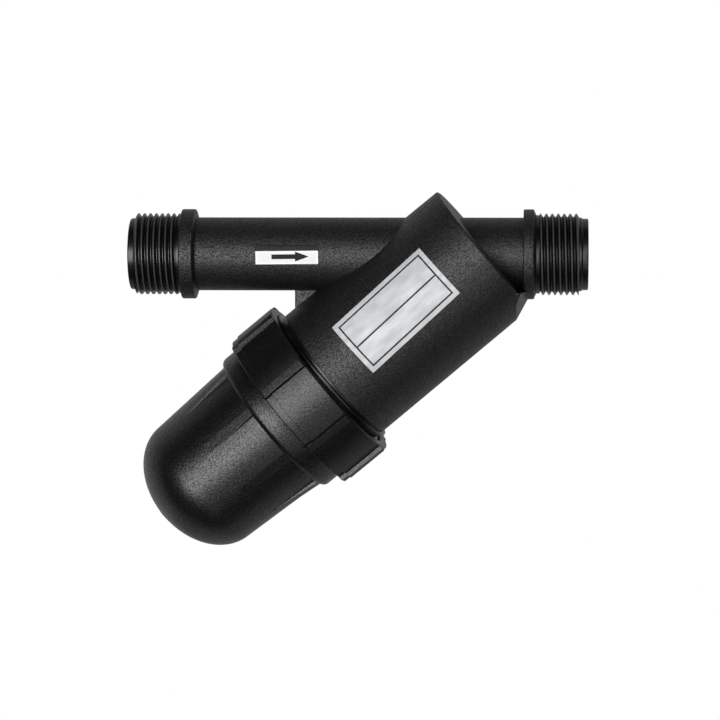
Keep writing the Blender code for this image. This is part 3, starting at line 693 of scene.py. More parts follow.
def housing_finish():
    """Black grained plastic, smooth and glossier on the threads and the neck, with a painted
    highlight on the spigot crests.
    """
    finish = new_finish("black_grained_polypropylene")
    place = finish.place()
    x, y, z = finish.split(place)
    s = along_barrel(finish, place)
    inlet = finish.smooth_range(x, pipe.flange_face, pipe.flange_face - 0.2 * MM)
    outlet_face = pipe.total - pipe.flange_face
    outlet = finish.smooth_range(x, outlet_face, outlet_face + 0.2 * MM)
    neck = finish.smooth_range(s, barrel.neck_start - 0.6 * MM, barrel.neck_start)
    neck = neck * (z < -pipe.flange)
    radius = (y * y + z * z) ** 0.5
    over_pad = (abs(x - pipe.pad_start - pipe.pad_length / 2) < pipe.pad_length / 2) * (
        radius > pipe.outside + 0.1 * MM
    ) * (z > pipe.pad_rise - pipe.pad_height / 2 - 0.2 * MM) * (y < 0.0)
    smooth = inlet.highest(outlet).highest(neck).highest(over_pad)
    # Painted highlight: the spigot thread crests get a lighter colour that stands in for the
    # light they catch.
    painted_crest_highlight = finish.smooth_range(radius, pipe.crest - 0.30 * MM, pipe.crest - 0.05 * MM)
    painted_crest_highlight = painted_crest_highlight * inlet.highest(outlet)
    cloud = finish.noise(place, 60.0, detail=3.0)
    tips = sparkle(finish, place)
    relief = grain(finish, place) * (1.0 - smooth)
    plain = speckled(finish, cloud, tips * (1.0 - smooth), colours.housing)
    finish.set(
        Base_Color=finish.mix_colour(painted_crest_highlight, plain, shade(colours.crest)),
        Roughness=0.47 + (cloud - 0.5) * 0.08 - smooth * 0.19,
        Coat_Weight=tips * (1.0 - smooth) * 0.9 + smooth * 0.3, Coat_Roughness=0.42,
        Coat_IOR=1.5, Normal=finish.bump(relief, 1.0, 0.45 * MM), IOR=1.43,
    )
    return finish.data


def cap_finish():
    """Black satin plastic with light draw marks along the barrel and a finer grain."""
    finish = new_finish("black_satin_polypropylene")
    place = finish.place()
    s = along_barrel(finish, place)
    bowl = finish.smooth_range(s, cap.collar_end, cap.collar_end + 0.5 * MM)
    drawn = finish.noise(turned_place(finish, place, 40.0), 900.0, detail=2.0)
    cloud = finish.noise(place, 45.0, detail=3.0)
    tips = sparkle(finish, place)
    rough = 0.35 - bowl * 0.03 + (cloud - 0.5) * 0.06 + (drawn - 0.5) * 0.06
    relief = grain(finish, place) * (0.18 + bowl * 0.14) + drawn * (0.10 - bowl * 0.08)
    finish.set(
        Base_Color=speckled(finish, cloud, tips * (0.4 + bowl * 0.4), colours.cap),
        Roughness=rough, Coat_Weight=tips * (0.5 + bowl * 0.28), Coat_Roughness=0.32,
        Coat_IOR=1.5, Normal=finish.bump(relief, 1.0, 0.60 * MM), IOR=1.42,
    )
    return finish.data


def plain_finish(name, base, roughness, scale, depth, shine=0.5):
    """A moulded or rubber finish with a little cloud in its colour and a fine surface."""
    finish = new_finish(name)
    place = finish.place()
    cloud = finish.noise(place, 120.0, detail=3.0)
    fine = finish.noise(place, scale, detail=2.0)
    finish.set(
        Base_Color=finish.mix_colour(cloud, shade(base, 0.85), shade(base, 1.15)),
        Roughness=roughness + (fine - 0.5) * 0.12,
        Normal=finish.bump(fine, 0.4, depth), Specular_IOR_Level=shine,
    )
    return finish.data


def disc_finish():
    """Red moulded discs with fine slanting grooves round their rims."""
    finish = new_finish("red_grooved_polypropylene")
    place = finish.place()
    local = turned_place(finish, place, 1.0)
    waves = finish.node(
        "ShaderNodeTexWave",
        {"Vector": local, "Scale": 900.0, "Distortion": 0.4, "Detail": 1.0}, "Fac",
        wave_type="BANDS", bands_direction="DIAGONAL",
    )
    cloud = finish.noise(place, 90.0, detail=2.0)
    finish.set(
        Base_Color=finish.mix_colour(
            cloud * 0.5 + waves * 0.5, shade(colours.disc, 0.7), shade(colours.disc, 1.1),
        ),
        Roughness=0.38 + waves * 0.15,
        Normal=finish.bump(waves, 0.5, 0.15 * MM),
    )
    return finish.data


def foil_finish():
    """Silver foil with soft streaks and a thin printed frame and divider."""
    finish = new_finish("silver_foil_film")
    uv = finish.node("ShaderNodeTexCoord", output="UV")
    along, across, _ = finish.split(uv)
    along, across = along * label.foil_length, across * label.foil_width
    from_edge = along.lowest(label.foil_length - along).lowest(
        across.lowest(label.foil_width - across)
    )
    half = label.line / 2
    frame_line = abs(from_edge - label.margin) < half
    top = label.foil_width - label.margin
    split_at = top - label.divider * (label.foil_width - 2 * label.margin)
    divider = (abs(across - split_at) < half) * (from_edge > label.margin)
    ink = frame_line.highest(divider)
    cloud = finish.noise(
        finish.mapping(uv, Scale=(1.0, 1.6, 1.0)), 4.5, detail=3.0, roughness=0.55,
    )
    fine = finish.noise(finish.mapping(uv, Scale=(12.0, 100.0, 1.0)), 4.0, detail=2.0)
    tone = finish.smooth_range(cloud * 0.8 + fine * 0.2, 0.3, 0.7)
    silver = finish.mix_colour(tone, shade(colours.foil, 0.84), shade(colours.foil, 1.10))
    finish.set(
        Base_Color=finish.mix_colour(ink, silver, shade(colours.ink)),
        Metallic=(1.0 - ink) * 0.2,
        Roughness=0.58 + (1.0 - tone) * 0.12,
        Normal=finish.bump(cloud * 0.7 + fine * 0.3, 0.25, 0.25 * MM),
    )
    return finish.data


def film_finish():
    """White printed film, a little greyer inside its rim."""
    finish = new_finish("white_printed_film")
    place = finish.place()
    x, _, z = finish.split(place)
    middle = pipe.pad_rise + (label.sticker_height - pipe.pad_height) / 2 + label.sticker_rise
    to_end = label.sticker_length / 2 - abs(x - pipe.pad_start - pipe.pad_length / 2)
    to_side = label.sticker_height / 2 - abs(z - middle)
    inside = finish.smooth_range(to_end.lowest(to_side), 0.4 * MM, 0.9 * MM)
    cloud = finish.noise(place, 140.0, detail=2.0)
    # The film is drawn a little greyer inside its rim, with a little cloud in that grey.
    grey_inside_rim = inside * (0.7 + cloud * 0.3)
    finish.set(
        Base_Color=finish.mix_colour(grey_inside_rim, shade(colours.film), shade(colours.film, 0.84)),
        Roughness=0.38 + (cloud - 0.5) * 0.1,
        Normal=finish.bump(cloud, 0.1, 0.1 * MM),
    )
    return finish.data


# Pieces


def flange_corners(start, end, start_foot, end_foot):
    """(along, radius) corners of a flange: an upright start face and a leaning end face."""
    return [
        (start, start_foot),
        (start, pipe.flange, pipe.flange_round),
        (end - pipe.flange_lean, pipe.flange, pipe.flange_round),
        (end, end_foot),
    ]


def spigot_thread(name, ridge, low, high, chamfer_low, chamfer_high):
    """The threaded part of a spigot, with its lead-in end turned down a little."""
    foot, top, soft = 0.46 * pipe.pitch, 0.12 * pipe.pitch, 0.14 * MM
    middle = ridge + pipe.pitch / 4
    tooth = ridge_tooth(middle, pipe.pitch, pipe.root, pipe.crest, foot, top, soft)
    rod = threaded_rod(name, tooth, pipe.pitch, low, high, SPIGOT_TURN)
    over = pipe.crest + 0.5 * MM
    envelope = turn_solid("thread_envelope", [
        (low - MM, over - chamfer_low), (low + chamfer_low, over),
        (high - chamfer_high, over), (high + MM, over - chamfer_high),
    ], SPIGOT_TURN)
    combine(rod, envelope, "INTERSECT")
    return on_run(rod)


class DISCFILTER_OT_housing(Operator):
    """Model the housing: run pipe, spigots, barrel, webs and pad in one moulding"""

    bl_idname = "disc_filter.housing"
    bl_label = "Housing"

    def execute(self, context):
        housing = self.make_barrel()
        for make, operation in (
            (self.make_corner_cutter, "DIFFERENCE"), (self.make_run_pipe, "UNION"),
            (self.make_gusset, "UNION"), (self.make_corner, "UNION"),
            (self.make_pad, "UNION"), (self.make_inlet_thread, "UNION"),
            (self.make_outlet_thread, "UNION"), (self.make_neck_thread, "UNION"),
            (self.make_chamber, "DIFFERENCE"), (self.make_inlet_bore, "DIFFERENCE"),
            (self.make_outlet_bore, "DIFFERENCE"),
        ):
            combine(housing, make(), operation)
        finish_piece(housing, "housing", "black_polypropylene", housing_finish(), "housing")
        return {"FINISHED"}

    def make_barrel(self):
        """Head, drafted barrel and plain neck, turned about the barrel's axis."""
        core = barrel.neck_root - CORE_SINK
        outside = turn_solid("moulded_housing", [
            (barrel.head_face, barrel.head, barrel.head_round),
            (barrel.neck_start + 0.1 * MM, barrel.mouth, 0.12 * MM),
            (barrel.neck_start + LAP, core), (barrel.thread_end, core),
            (barrel.thread_end, barrel.tip), (barrel.end, barrel.tip, 0.5 * MM),
        ], WIDE_TURN, RING)
        return on_barrel(outside)

    def make_corner_cutter(self):
        """The block that takes off the head's low corner, clear of the outlet flange."""
        reach = 2 * barrel.head
        return block(
            "corner_cutter", (barrel.corner_plane, -reach, -reach - PAST),
            (barrel.corner_plane + reach, reach, 0.0),
        )

    def make_run_pipe(self):
        """Plain pipe, both flanges and the leads, turned about the pipe's axis."""
        core, step = pipe.root - CORE_SINK, pipe.root - 0.2 * MM
        face = pipe.flange_face
        runout = face - pipe.runout_length
        outlet_face = pipe.total - face
        outlet_runout = outlet_face + pipe.runout_length
        outlet_lead = pipe.total - pipe.lead_length
        step_start = outlet_lead - pipe.outlet_step - LAP
        run_pipe = turn_solid("run_pipe", [
            (0.0, pipe.lead, pipe.lead_round),
            (pipe.lead_length + LAP, pipe.lead), (pipe.lead_length + LAP, core),
            (runout, core), (runout, pipe.runout, 0.4 * MM),
            *flange_corners(face, face + pipe.inlet_flange, pipe.runout, pipe.outside),
            *flange_corners(
                outlet_face - pipe.outlet_flange, outlet_face, pipe.outside, pipe.runout,
            ),
            (outlet_runout, pipe.runout, 0.3 * MM), (outlet_runout, core),
            (step_start, core), (step_start, step),
            (outlet_lead - 0.6 * MM, step), (outlet_lead, pipe.lead),
            (pipe.total, pipe.lead, pipe.lead_round),
        ], PIPE_TURN, RING)
        return on_run(run_pipe)

    def make_corner(self):
        """The drafted corner between the head and the outlet flange."""
        flange = pipe.total - pipe.flange_face - pipe.outlet_flange
        wide = barrel.head * 0.7
        low = self.barrel_side(barrel.corner_plane, -1) - PAST
        corner = block(
            "drafted_corner", (barrel.corner_plane - SUNK, -wide, low),
            (flange + 3 * SUNK, wide, SUNK / 2 - pipe.outside),
        )
        ridge_top = Vector((flange + barrel.corner_lap, 0.0, -pipe.flange))
        ridge_foot = Vector((
            barrel.corner_plane, 0.0, self.barrel_side(barrel.corner_plane, -1) + 0.3 * MM,
        ))
        for side in (-1, 1):
            edge = Vector((barrel.corner_plane, side * barrel.corner_width, -pipe.flange))
            normal = (ridge_foot - ridge_top).cross(edge - ridge_top) * side
            trim(corner, ridge_top, normal.normalized())
        inside = barrel.head - 0.05 * MM
        envelope = turn_solid(
            "corner_envelope", [(-2 * barrel.head, inside), (barrel.end, inside)], WIDE_TURN,
        )
        combine(corner, on_barrel(envelope), "INTERSECT")
        return corner

    def barrel_side(self, x, side):
        """Z where the barrel's side line (1 for the upper, -1 for the lower) is at x."""
        radius = side * (barrel.head + barrel.mouth) / 2
        along = (barrel.crossing - x - radius * sin(barrel.slant)) / cos(barrel.slant)
        return radius * cos(barrel.slant) - along * sin(barrel.slant)

    def make_gusset(self):
        """The triangular web under the pipe."""
        top = SUNK - pipe.outside
        low = self.barrel_side(barrel.gusset_x, 1)
        reach = barrel.gusset_x + (top - low) / tan(barrel.slant)
        deep = 2 * SUNK
        gusset = [
            (barrel.gusset_x, top), (barrel.gusset_x, low - SUNK),
            (barrel.gusset_x + deep, low - SUNK), (reach + deep, top),
        ]
        half = barrel.web / 2
        return push_out(
            "gusset", [(x, -half, z) for x, z in gusset], (0.0, barrel.web, 0.0),
            barrel.web_round,
        )

    def make_pad(self):
        """The raised pad for the arrow sticker, flat below and sloped at its top."""
        low = pipe.pad_rise - pipe.pad_height / 2
        high = low + pipe.pad_height
        outline = [
            (-pipe.pad_face, low), (-pipe.pad_face, high - pipe.pad_slope),
            (pipe.pad_fall - pipe.pad_face, high),
            (-pipe.bore - SUNK, high), (-pipe.bore - SUNK, low),
        ]
        return push_out(
            "arrow_pad", [(pipe.pad_start, y, z) for y, z in outline],
            (pipe.pad_length, 0.0, 0.0), 0.2 * MM,
        )

    def make_chamber(self):
        """The hollow of outlet pocket, cartridge socket and chamber."""
        floor = barrel.head_face + barrel.head_wall
        seat = barrel.seat_start + barrel.seat_plate
        cutter = turn_solid("chamber_cutter", [
            (floor, barrel.pocket, 1.5 * MM), (barrel.seat_start, barrel.pocket),
            (barrel.seat_start, barrel.socket_bore), (barrel.socket_end, barrel.socket_bore),
            (barrel.socket_end, barrel.socket, 0.4 * MM), (seat, barrel.socket),
            (seat, barrel.chamber - barrel.chamber_draft, 1.0 * MM),
            (barrel.end + PAST, barrel.chamber),
        ], PIPE_TURN)
        return on_barrel(cutter)

    def bore(self, name, start, end, cut_at, towards):
        """A cutter for one end of the run's bore, trimmed by planes inside the barrel."""
        cutter = turn_solid(name, [(start, pipe.bore), (end, pipe.bore)], PIPE_TURN)
        on_run(cutter)
        for point, normal in zip(cut_at, towards):
            trim(cutter, point, normal)
        return cutter

    def make_inlet_bore(self):
        """The inlet's bore, which opens into the chamber outside the socket."""
        axes = barrel_axes().to_3x3()
        forward, upward = axes.col[2].copy(), axes.col[1].copy()
        crossing = Vector((barrel.crossing, 0.0, 0.0))
        seat_back = barrel.seat_start + barrel.seat_plate + GAP
        clear_of_socket = (barrel.socket + barrel.chamber) / 2
        return self.bore(
            "inlet_bore", -PAST, barrel.crossing,
            [crossing + forward * seat_back, crossing + upward * clear_of_socket],
            [-forward, -upward],
        )

    def make_outlet_bore(self):
        """The outlet's bore, which leaves the pocket behind the socket."""
        forward = barrel_axes().to_3x3().col[2].copy()
        crossing = Vector((barrel.crossing, 0.0, 0.0))
        start = barrel.crossing - 2 * barrel.chamber
        return self.bore(
            "outlet_bore", start, pipe.total + PAST,
            [crossing + forward * (barrel.seat_start - 2 * GAP)], [forward],
        )

    def make_inlet_thread(self):
        """The thread of the inlet spigot, from its lead to its run-out."""
        return spigot_thread(
            "inlet_thread", pipe.inlet_ridge, pipe.lead_length,
            pipe.flange_face - pipe.runout_length + LAP, 1.0 * MM, 0.5 * MM,
        )

    def make_outlet_thread(self):
        """The thread of the outlet spigot, from its run-out to the step before its lead."""
        outlet_face = pipe.total - pipe.flange_face
        return spigot_thread(
            "outlet_thread", pipe.outlet_ridge, outlet_face + pipe.runout_length - LAP,
            pipe.total - pipe.lead_length - pipe.outlet_step, 0.5 * MM, 0.3 * MM,
        )

    def make_neck_thread(self):
        """The neck's coarse thread, over the plain neck."""
        tooth = ridge_tooth(
            barrel.neck_ridge, barrel.neck_pitch, barrel.neck_root, barrel.neck_crest,
            1.05 * MM, 0.65 * MM, 0.15 * MM,
        )
        rod = threaded_rod(
            "neck_thread", tooth, barrel.neck_pitch, barrel.neck_start,
            barrel.thread_end + 0.3 * MM, PIPE_TURN,
        )
        return on_barrel(rod)


class DISCFILTER_OT_cap(Operator):
    """Model the screw cap: collar with grips, shoulder, ribbed bowl and dome"""

    bl_idname = "disc_filter.cap"
    bl_label = "Screw cap"

    def execute(self, context):
        moulding = self.make_shell()
        for tool in self.make_grips():
            combine(moulding, tool, "UNION")
        combine(moulding, self.make_thread(), "DIFFERENCE")
        on_barrel(moulding)
        finish_piece(moulding, "screw_cap", "cap_polypropylene", cap_finish(), "screw_cap")
        return {"FINISHED"}

    def wall(self, along):
        """The bowl's outer radius between the shoulder and the dome."""
        part = (along - cap.shoulder_end) / (cap.dome_start - cap.shoulder_end)
        return cap.bowl + (cap.dome - cap.bowl) * part

    def dome(self, radius, height, start, end, steps):
        """(along, radius) points of the dome's ellipse between two angles from its foot."""
        turns = [start + (end - start) * step / steps for step in range(steps + 1)]
        return [(cap.dome_start + height * sin(t), radius * cos(t)) for t in turns]

    def make_shell(self):
        """Everything but grips, ribs and thread, turned about the barrel's axis."""
        band = cap.collar - cap.band_step
        band_start = cap.collar_end - cap.band
        seal_step = barrel.end + GAP + cartridge.seal + GAP
        inner, inner_height = cap.dome - cap.wall, cap.dome_length - cap.wall
        boss_face = stack_places()["clamp"] + GAP
        boss_foot = acos(cap.boss / inner)
        boss_floor = acos(cap.boss_bore / inner)
        narrow = cap.inner_crest - 0.6 * MM
        outline = rounded([
            (cap.mouth, narrow),
            (cap.mouth, cap.collar, 0.7 * MM),
            (band_start, cap.collar, 0.15 * MM),
            (band_start, band, 0.1 * MM),
            (cap.collar_end, band, 0.5 * MM),
            (cap.collar_end, cap.shoulder - 0.3 * MM),
            (cap.shoulder_crown, cap.shoulder, 12.0 * MM),
            (cap.shoulder_end, cap.shoulder, cap.shoulder_round),
            (cap.shoulder_end, cap.bowl),
        ], steps=6)
        gate_edge, floor_edge = pi / 2 - 0.13, pi / 2 - 0.1
        outline += self.dome(cap.dome, cap.dome_length, 0.0, gate_edge, 22)
        pole = cap.dome_start + cap.dome_length
        outline += [
            (pole + cap.gate_rise, cap.gate), (pole + cap.gate_rise, 0.0),
            (cap.dome_start + inner_height, 0.0),
        ]
        outline += self.dome(inner, inner_height, floor_edge, boss_floor, 6)
        outline += [(boss_face, cap.boss_bore), (boss_face, cap.boss)]
        outline += self.dome(inner, inner_height, boss_foot, 0.0, 12)
        outline += [
            (seal_step, cap.bowl - cap.wall),
            (seal_step, cap.seal_bore),
            (cap.bore_end, cap.seal_bore),
            (cap.bore_end, narrow),
        ]
        return turn_outline("moulded_screw_cap", ringed(outline, RING), WIDE_TURN)

    def make_grips(self):
        """Grips on the collar and fading ribs on the bowl, one pair copied round."""
        band_start = cap.collar_end - cap.band
        base = cap.collar - cap.band_step - SUNK
        start = cap.mouth + 0.15 * MM
        low = cap.grip - cap.band_step
        grip_outline = [
            (start, base), (start, cap.grip - cap.grip_slope / 2),
            (start + cap.grip_slope, cap.grip), (band_start, cap.grip), (band_start, low),
            (cap.collar_end - 0.6 * MM, low), (cap.collar_end, low - 0.5 * MM),
            (cap.collar_end, base),
        ]
        rib_start = cap.shoulder_end - SUNK
        rib_outline = [
            (rib_start, self.wall(rib_start) - SUNK),
            (rib_start, self.wall(rib_start) + cap.rib_height),
            (cap.rib_end, self.wall(cap.rib_end) - cap.rib_sink),
            (cap.rib_end, self.wall(cap.rib_end) - SUNK),
        ]
        tools = []
        for name, outline, top in (
            ("grip", grip_outline, cap.grip), ("bowl_rib", rib_outline, rib_outline[1][1]),
        ):
            ring = copies(self.drafted(name, outline, top), cap.grips)
            deselect()
            for index, each in enumerate(ring):
                each.rotation_euler.z = cap.grip_phase + 2 * pi * index / cap.grips
                each.select_set(True)
            bpy.context.view_layer.objects.active = ring[0]
            bpy.ops.object.transform_apply(location=True, rotation=True, scale=True)
            bpy.ops.object.join()
            tools.append(ring[0])
        return tools

    def drafted(self, name, outline, top):
        """A grip or rib whose sides lean outwards from its top radius down to its foot."""
        half = cap.grip_width / 2
        foot = min(radius for along, radius in outline)
        wide = half + (top - foot) * tan(cap.grip_draft) + SUNK
        piece = push_out(
            name, [(radius, -wide, along) for along, radius in outline],
            (0.0, 2 * wide, 0.0),
        )
        for side in (-1, 1):
            lean = (sin(cap.grip_draft), side * cos(cap.grip_draft), 0.0)
            trim(piece, (top, side * half, 0.0), lean)
        soften(piece, cap.grip_round)
        return piece

    def make_thread(self):
        """The cutter for the threaded bore, whose ridges run between the neck's."""
        # The cutter's ridge is the cap's groove, so it lies where the neck's ridge does.
        tooth = ridge_tooth(
            barrel.neck_ridge, barrel.neck_pitch, cap.inner_crest, cap.bore,
            1.5 * MM, 1.15 * MM, 0.15 * MM,
        )
        low = cap.mouth + 1.2 * MM
        rod = threaded_rod(
            "bore_thread", tooth, barrel.neck_pitch, low, cap.bore_end - 0.4 * MM, PIPE_TURN,
        )
        wide, narrow = cap.bore + 0.05 * MM, cap.inner_crest - 0.1 * MM
        relief = turn_solid("bore_relief", [
            (cap.mouth - PAST, cap.bore + 0.5 * MM), (cap.mouth, cap.bore + 0.5 * MM),
            (cap.mouth + 0.5 * MM, wide), (low + 0.1 * MM, wide), (low + 0.1 * MM, narrow),
            (cap.bore_end - 0.6 * MM, narrow), (cap.bore_end - 0.6 * MM, wide),
            (cap.bore_end + 0.05 * MM, wide),
        ], WIDE_TURN)
        combine(rod, relief, "UNION")
        return rod


def stack_places():
    """Places along the barrel that follow from the cartridge's sizes."""
    flange = barrel.socket_end + GAP
    start = flange + cartridge.flange + GAP
    pitch = cartridge.pair + GAP
    end = start + cartridge.discs * pitch
    clamp = end + cartridge.clamp
    nut = clamp + cartridge.hub_length + GAP
    return {
        "flange": flange, "start": start, "pitch": pitch, "end": end, "clamp": clamp,
        "nut": nut, "stud": nut + cartridge.nut_length + cartridge.stud_spare,
    }


class DISCFILTER_OT_cartridge(Operator):
    """Model the cartridge: finned spine, disc stack, clamp plate and nut"""

    bl_idname = "disc_filter.cartridge"
    bl_label = "Cartridge"

    def execute(self, context):
        grey = plain_finish("grey_polypropylene", colours.cartridge, 0.45, 1500.0, 0.05 * MM)
        for piece, node in (
            (self.make_spine(), "cartridge_spine"),
            (self.make_clamp_plate(), "clamp_plate"),
            (self.make_nut(), "clamp_nut"),
        ):
            on_barrel(piece)
            finish_piece(piece, "housing", "cartridge_polypropylene", grey, node)
        red = disc_finish()
        for index, pair in enumerate(self.make_discs()):
            on_barrel(pair)
            node = f"filter_disc_{index + 1:02d}"
            finish_piece(pair, "housing", "disc_polypropylene", red, node)
        return {"FINISHED"}

    def make_spine(self):
        """Neck with its seal groove, flange, fins and stud in one moulding."""
        places = stack_places()
        groove_end = cartridge.groove + cartridge.groove_width
        flange_end = places["flange"] + cartridge.flange
        spine = turn_outline("finned_spine", rounded([
            (cartridge.top, cartridge.bore), (cartridge.top, cartridge.neck, 0.5 * MM),
            (cartridge.groove, cartridge.neck), (cartridge.groove, cartridge.groove_radius),
            (groove_end, cartridge.groove_radius), (groove_end, cartridge.neck),
            (places["flange"], cartridge.neck), (places["flange"], cartridge.disc, 0.5 * MM),
            (flange_end, cartridge.disc, 0.5 * MM), (flange_end, cartridge.bore),
        ]), SPINE_TURN)
        reach = cartridge.disc_bore - cartridge.fin_play
        start = places["flange"] + SUNK
        outline = []
        for index in range(cartridge.fins):
            middle = 2 * pi * index / cartridge.fins
            notch = middle + pi / cartridge.fins
            for side in (-1, 1):
                across = side * cartridge.fin / 2
                outline.append((
                    reach * cos(middle) - across * sin(middle),
                    reach * sin(middle) + across * cos(middle), start,
                ))
            outline.append((cartridge.core * cos(notch), cartridge.core * sin(notch), start))
        fins = push_out("fins", outline, (0.0, 0.0, places["end"] - GAP - start), 0.2 * MM)
        stud = turn_solid("stud", [
            (places["end"] - PAST, cartridge.stud), (places["stud"], cartridge.stud, 0.6 * MM),
        ], STUD_TURN)
        combine(spine, fins, "UNION")
        combine(spine, stud, "UNION")
        return spine

    def make_discs(self):
        """Pairs of thin discs with bevelled rims, one modelled and the rest copied."""
        places = stack_places()
        split, edge = 0.1 * MM, 0.3 * MM
        thin = (cartridge.pair - split) / 2
        one = turn_outline("disc_pair", rounded([
            (0.0, cartridge.disc_bore), (0.0, cartridge.disc, edge),
            (thin, cartridge.disc, edge), (thin, cartridge.disc_bore),
        ], steps=2), DISC_TURN)
        edit(one)
        bpy.ops.mesh.duplicate_move(TRANSFORM_OT_translate={"value": (0, 0, thin + split)})
        bpy.ops.object.mode_set(mode="OBJECT")
        pairs = copies(one, cartridge.discs)
        for index, pair in enumerate(pairs):
            pair.name = f"disc_pair_{index + 1:02d}"
            along = places["start"] + index * places["pitch"]
            lay_in_frame(pair, Matrix.Translation((0, 0, along)))
        return pairs

    def make_clamp_plate(self):
        """The plate that presses the stack together, with its hub."""
        places = stack_places()
        hole = cartridge.stud + GAP
        hub_end = places["clamp"] + cartridge.hub_length
        return turn_outline("moulded_clamp_plate", rounded([
            (places["end"], hole), (places["end"], cartridge.disc, 0.5 * MM),
            (places["clamp"], cartridge.disc, 0.8 * MM), (places["clamp"], cartridge.hub),
            (hub_end, cartridge.hub, 0.4 * MM), (hub_end, hole),
        ]), DISC_TURN)

    def make_nut(self):
        """The hexagon nut, with its corners turned down and its hole cut through."""
        start = stack_places()["nut"]
        end = start + cartridge.nut_length
        outline = [
            (cartridge.nut * cos(pi * side / 3), cartridge.nut * sin(pi * side / 3), start)
            for side in range(6)
        ]
        nut = push_out("hexagon_nut", outline, (0.0, 0.0, cartridge.nut_length))
        turned_down = turn_solid("nut_envelope", [
            (start - PAST, cartridge.nut * 2), (end - 1.2 * MM, cartridge.nut + 0.3 * MM),
            (end + MM, cartridge.nut - 1.6 * MM),
        ], DISC_TURN)
        bore = cartridge.stud + GAP
        hole = turn_solid("nut_hole", [(start - PAST, bore), (end + PAST, bore)], STUD_TURN)
        combine(nut, turned_down, "INTERSECT")
        combine(nut, hole, "DIFFERENCE")
        return nut


class DISCFILTER_OT_seals(Operator):
    """Model the flat cap seal and the ring seal on the cartridge's neck"""

    bl_idname = "disc_filter.seals"
    bl_label = "Seals"

    def execute(self, context):
        rubber = plain_finish(
            "black_rubber", colours.seal, 0.6, 2500.0, 0.03 * MM,
        )
        start, end = barrel.end + GAP, barrel.end + GAP + cartridge.seal
        inner, outer, edge = cartridge.seal_inner, cap.seal_bore - GAP, 0.3 * MM
        flat = turn_outline("flat_cap_seal", rounded([
            (start, inner, edge), (start, outer, edge), (end, outer, edge), (end, inner, edge),
        ]), PIPE_TURN)
        low = cartridge.groove_radius + GAP / 2
        high = barrel.socket_bore - GAP / 2
        middle = cartridge.groove + cartridge.groove_width / 2
        thick = (high - low) / 2
        turns = [2 * pi * step / 16 for step in range(16)]
        ring = turn_outline("ring_seat_seal", [
            (middle + thick * cos(turn), (low + high) / 2 + thick * sin(turn)) for turn in turns
        ], SPIGOT_TURN)
        for piece, node, body in (
            (flat, "cap_seal", "seal_ring"), (ring, "seat_seal", "housing"),
        ):
            on_barrel(piece)
            finish_piece(piece, body, "seal_rubber", rubber, node)
        return {"FINISHED"}


class DISCFILTER_OT_labels(Operator):
    """Model the foil label, the arrow sticker and its printed arrow"""

    bl_idname = "disc_filter.labels"
    bl_label = "Labels"

    def execute(self, context):
        finish_piece(
            self.make_foil(), "housing", "silver_foil", foil_finish(), "rating_label",
        )
        sticker, arrow = self.make_sticker()
        finish_piece(sticker, "housing", "white_film", film_finish(), "flow_arrow_label")
        ink = plain_finish("arrow_ink", colours.arrow, 0.6, 2500.0, 0.02 * MM, 0.2)
        finish_piece(arrow, "housing", "white_film", ink)
        return {"FINISHED"}

    def make_foil(self):
        """A flat sheet, tilted as it is stuck on, bent round the barrel and thickened."""
        draft = (barrel.mouth - barrel.head) / (barrel.neck_start - barrel.head_face)
        radius = barrel.head + (label.foil_middle - barrel.head_face) * draft + label.lift
        tilt = label.foil_tilt
        reach = label.foil_length * sin(tilt) + label.foil_width * cos(tilt)
        deselect()
        bpy.ops.mesh.primitive_grid_add(x_subdivisions=24, y_subdivisions=48, size=1.0)
        foil = bpy.context.object
        foil.name = "foil_label"
        edit(foil)
        bpy.ops.transform.resize(value=(label.foil_length, label.foil_width, 1.0))
        bpy.ops.object.mode_set(mode="OBJECT")
        # Length along Z and width along X, which the bend needs.
        upright = Matrix(((0, 1, 0, 0), (0, 0, 1, 0), (1, 0, 0, 0), (0, 0, 0, 1)))
        lay_in_frame(foil, upright @ Matrix.Rotation(tilt, 4, "Z"))
        modify(
            foil, "SIMPLE_DEFORM", deform_method="BEND", deform_axis="Z", angle=-reach / radius,
        )
        camera_side = Matrix.Rotation(label.foil_turn, 4, "Z") @ Matrix.Translation(
            (radius, 0.0, label.foil_middle)
        )
        facing = Matrix.Rotation(atan(draft), 4, "Y") @ Matrix.Rotation(-pi / 2, 4, "Z")
        lay_in_frame(foil, barrel_axes() @ camera_side @ facing)
        modify(foil, "SOLIDIFY", thickness=label.film, offset=1.0)
        return foil

    def make_sticker(self):
        """The white sticker on the pad's lower part, and the arrow printed on it."""
        start = pipe.pad_start + (pipe.pad_length - label.sticker_length) / 2
        low = pipe.pad_rise - pipe.pad_height / 2 + label.sticker_rise
        back = -pipe.pad_face - label.lift
        face = back - label.film
        sticker = block(
            "arrow_sticker", (start, face, low),
            (start + label.sticker_length, back, low + label.sticker_height), 0.04 * MM,
        )
        tail = start + label.arrow_start
        neck = tail + label.arrow_shaft
        tip = neck + label.arrow_head
        middle = low + label.sticker_height / 2 + label.arrow_rise
        thin, wide = label.arrow_shaft_width / 2, label.arrow_head_width / 2
        outline = [
            (tail, -thin), (neck, -thin), (neck, -wide), (tip, 0.0),
            (neck, wide), (neck, thin), (tail, thin),
        ]
        arrow = push_out(
            "printed_arrow", [(x, face, middle + z) for x, z in outline],
            (0.0, -label.ink, 0.0),
        )
        centre = (start + label.sticker_length / 2, face, low + label.sticker_height / 2)
        for piece in (sticker, arrow):
            edit(piece)
            bpy.ops.transform.rotate(
                value=label.sticker_turn, orient_axis="Y", center_override=centre,
            )
            bpy.ops.object.mode_set(mode="OBJECT")
        return sticker, arrow


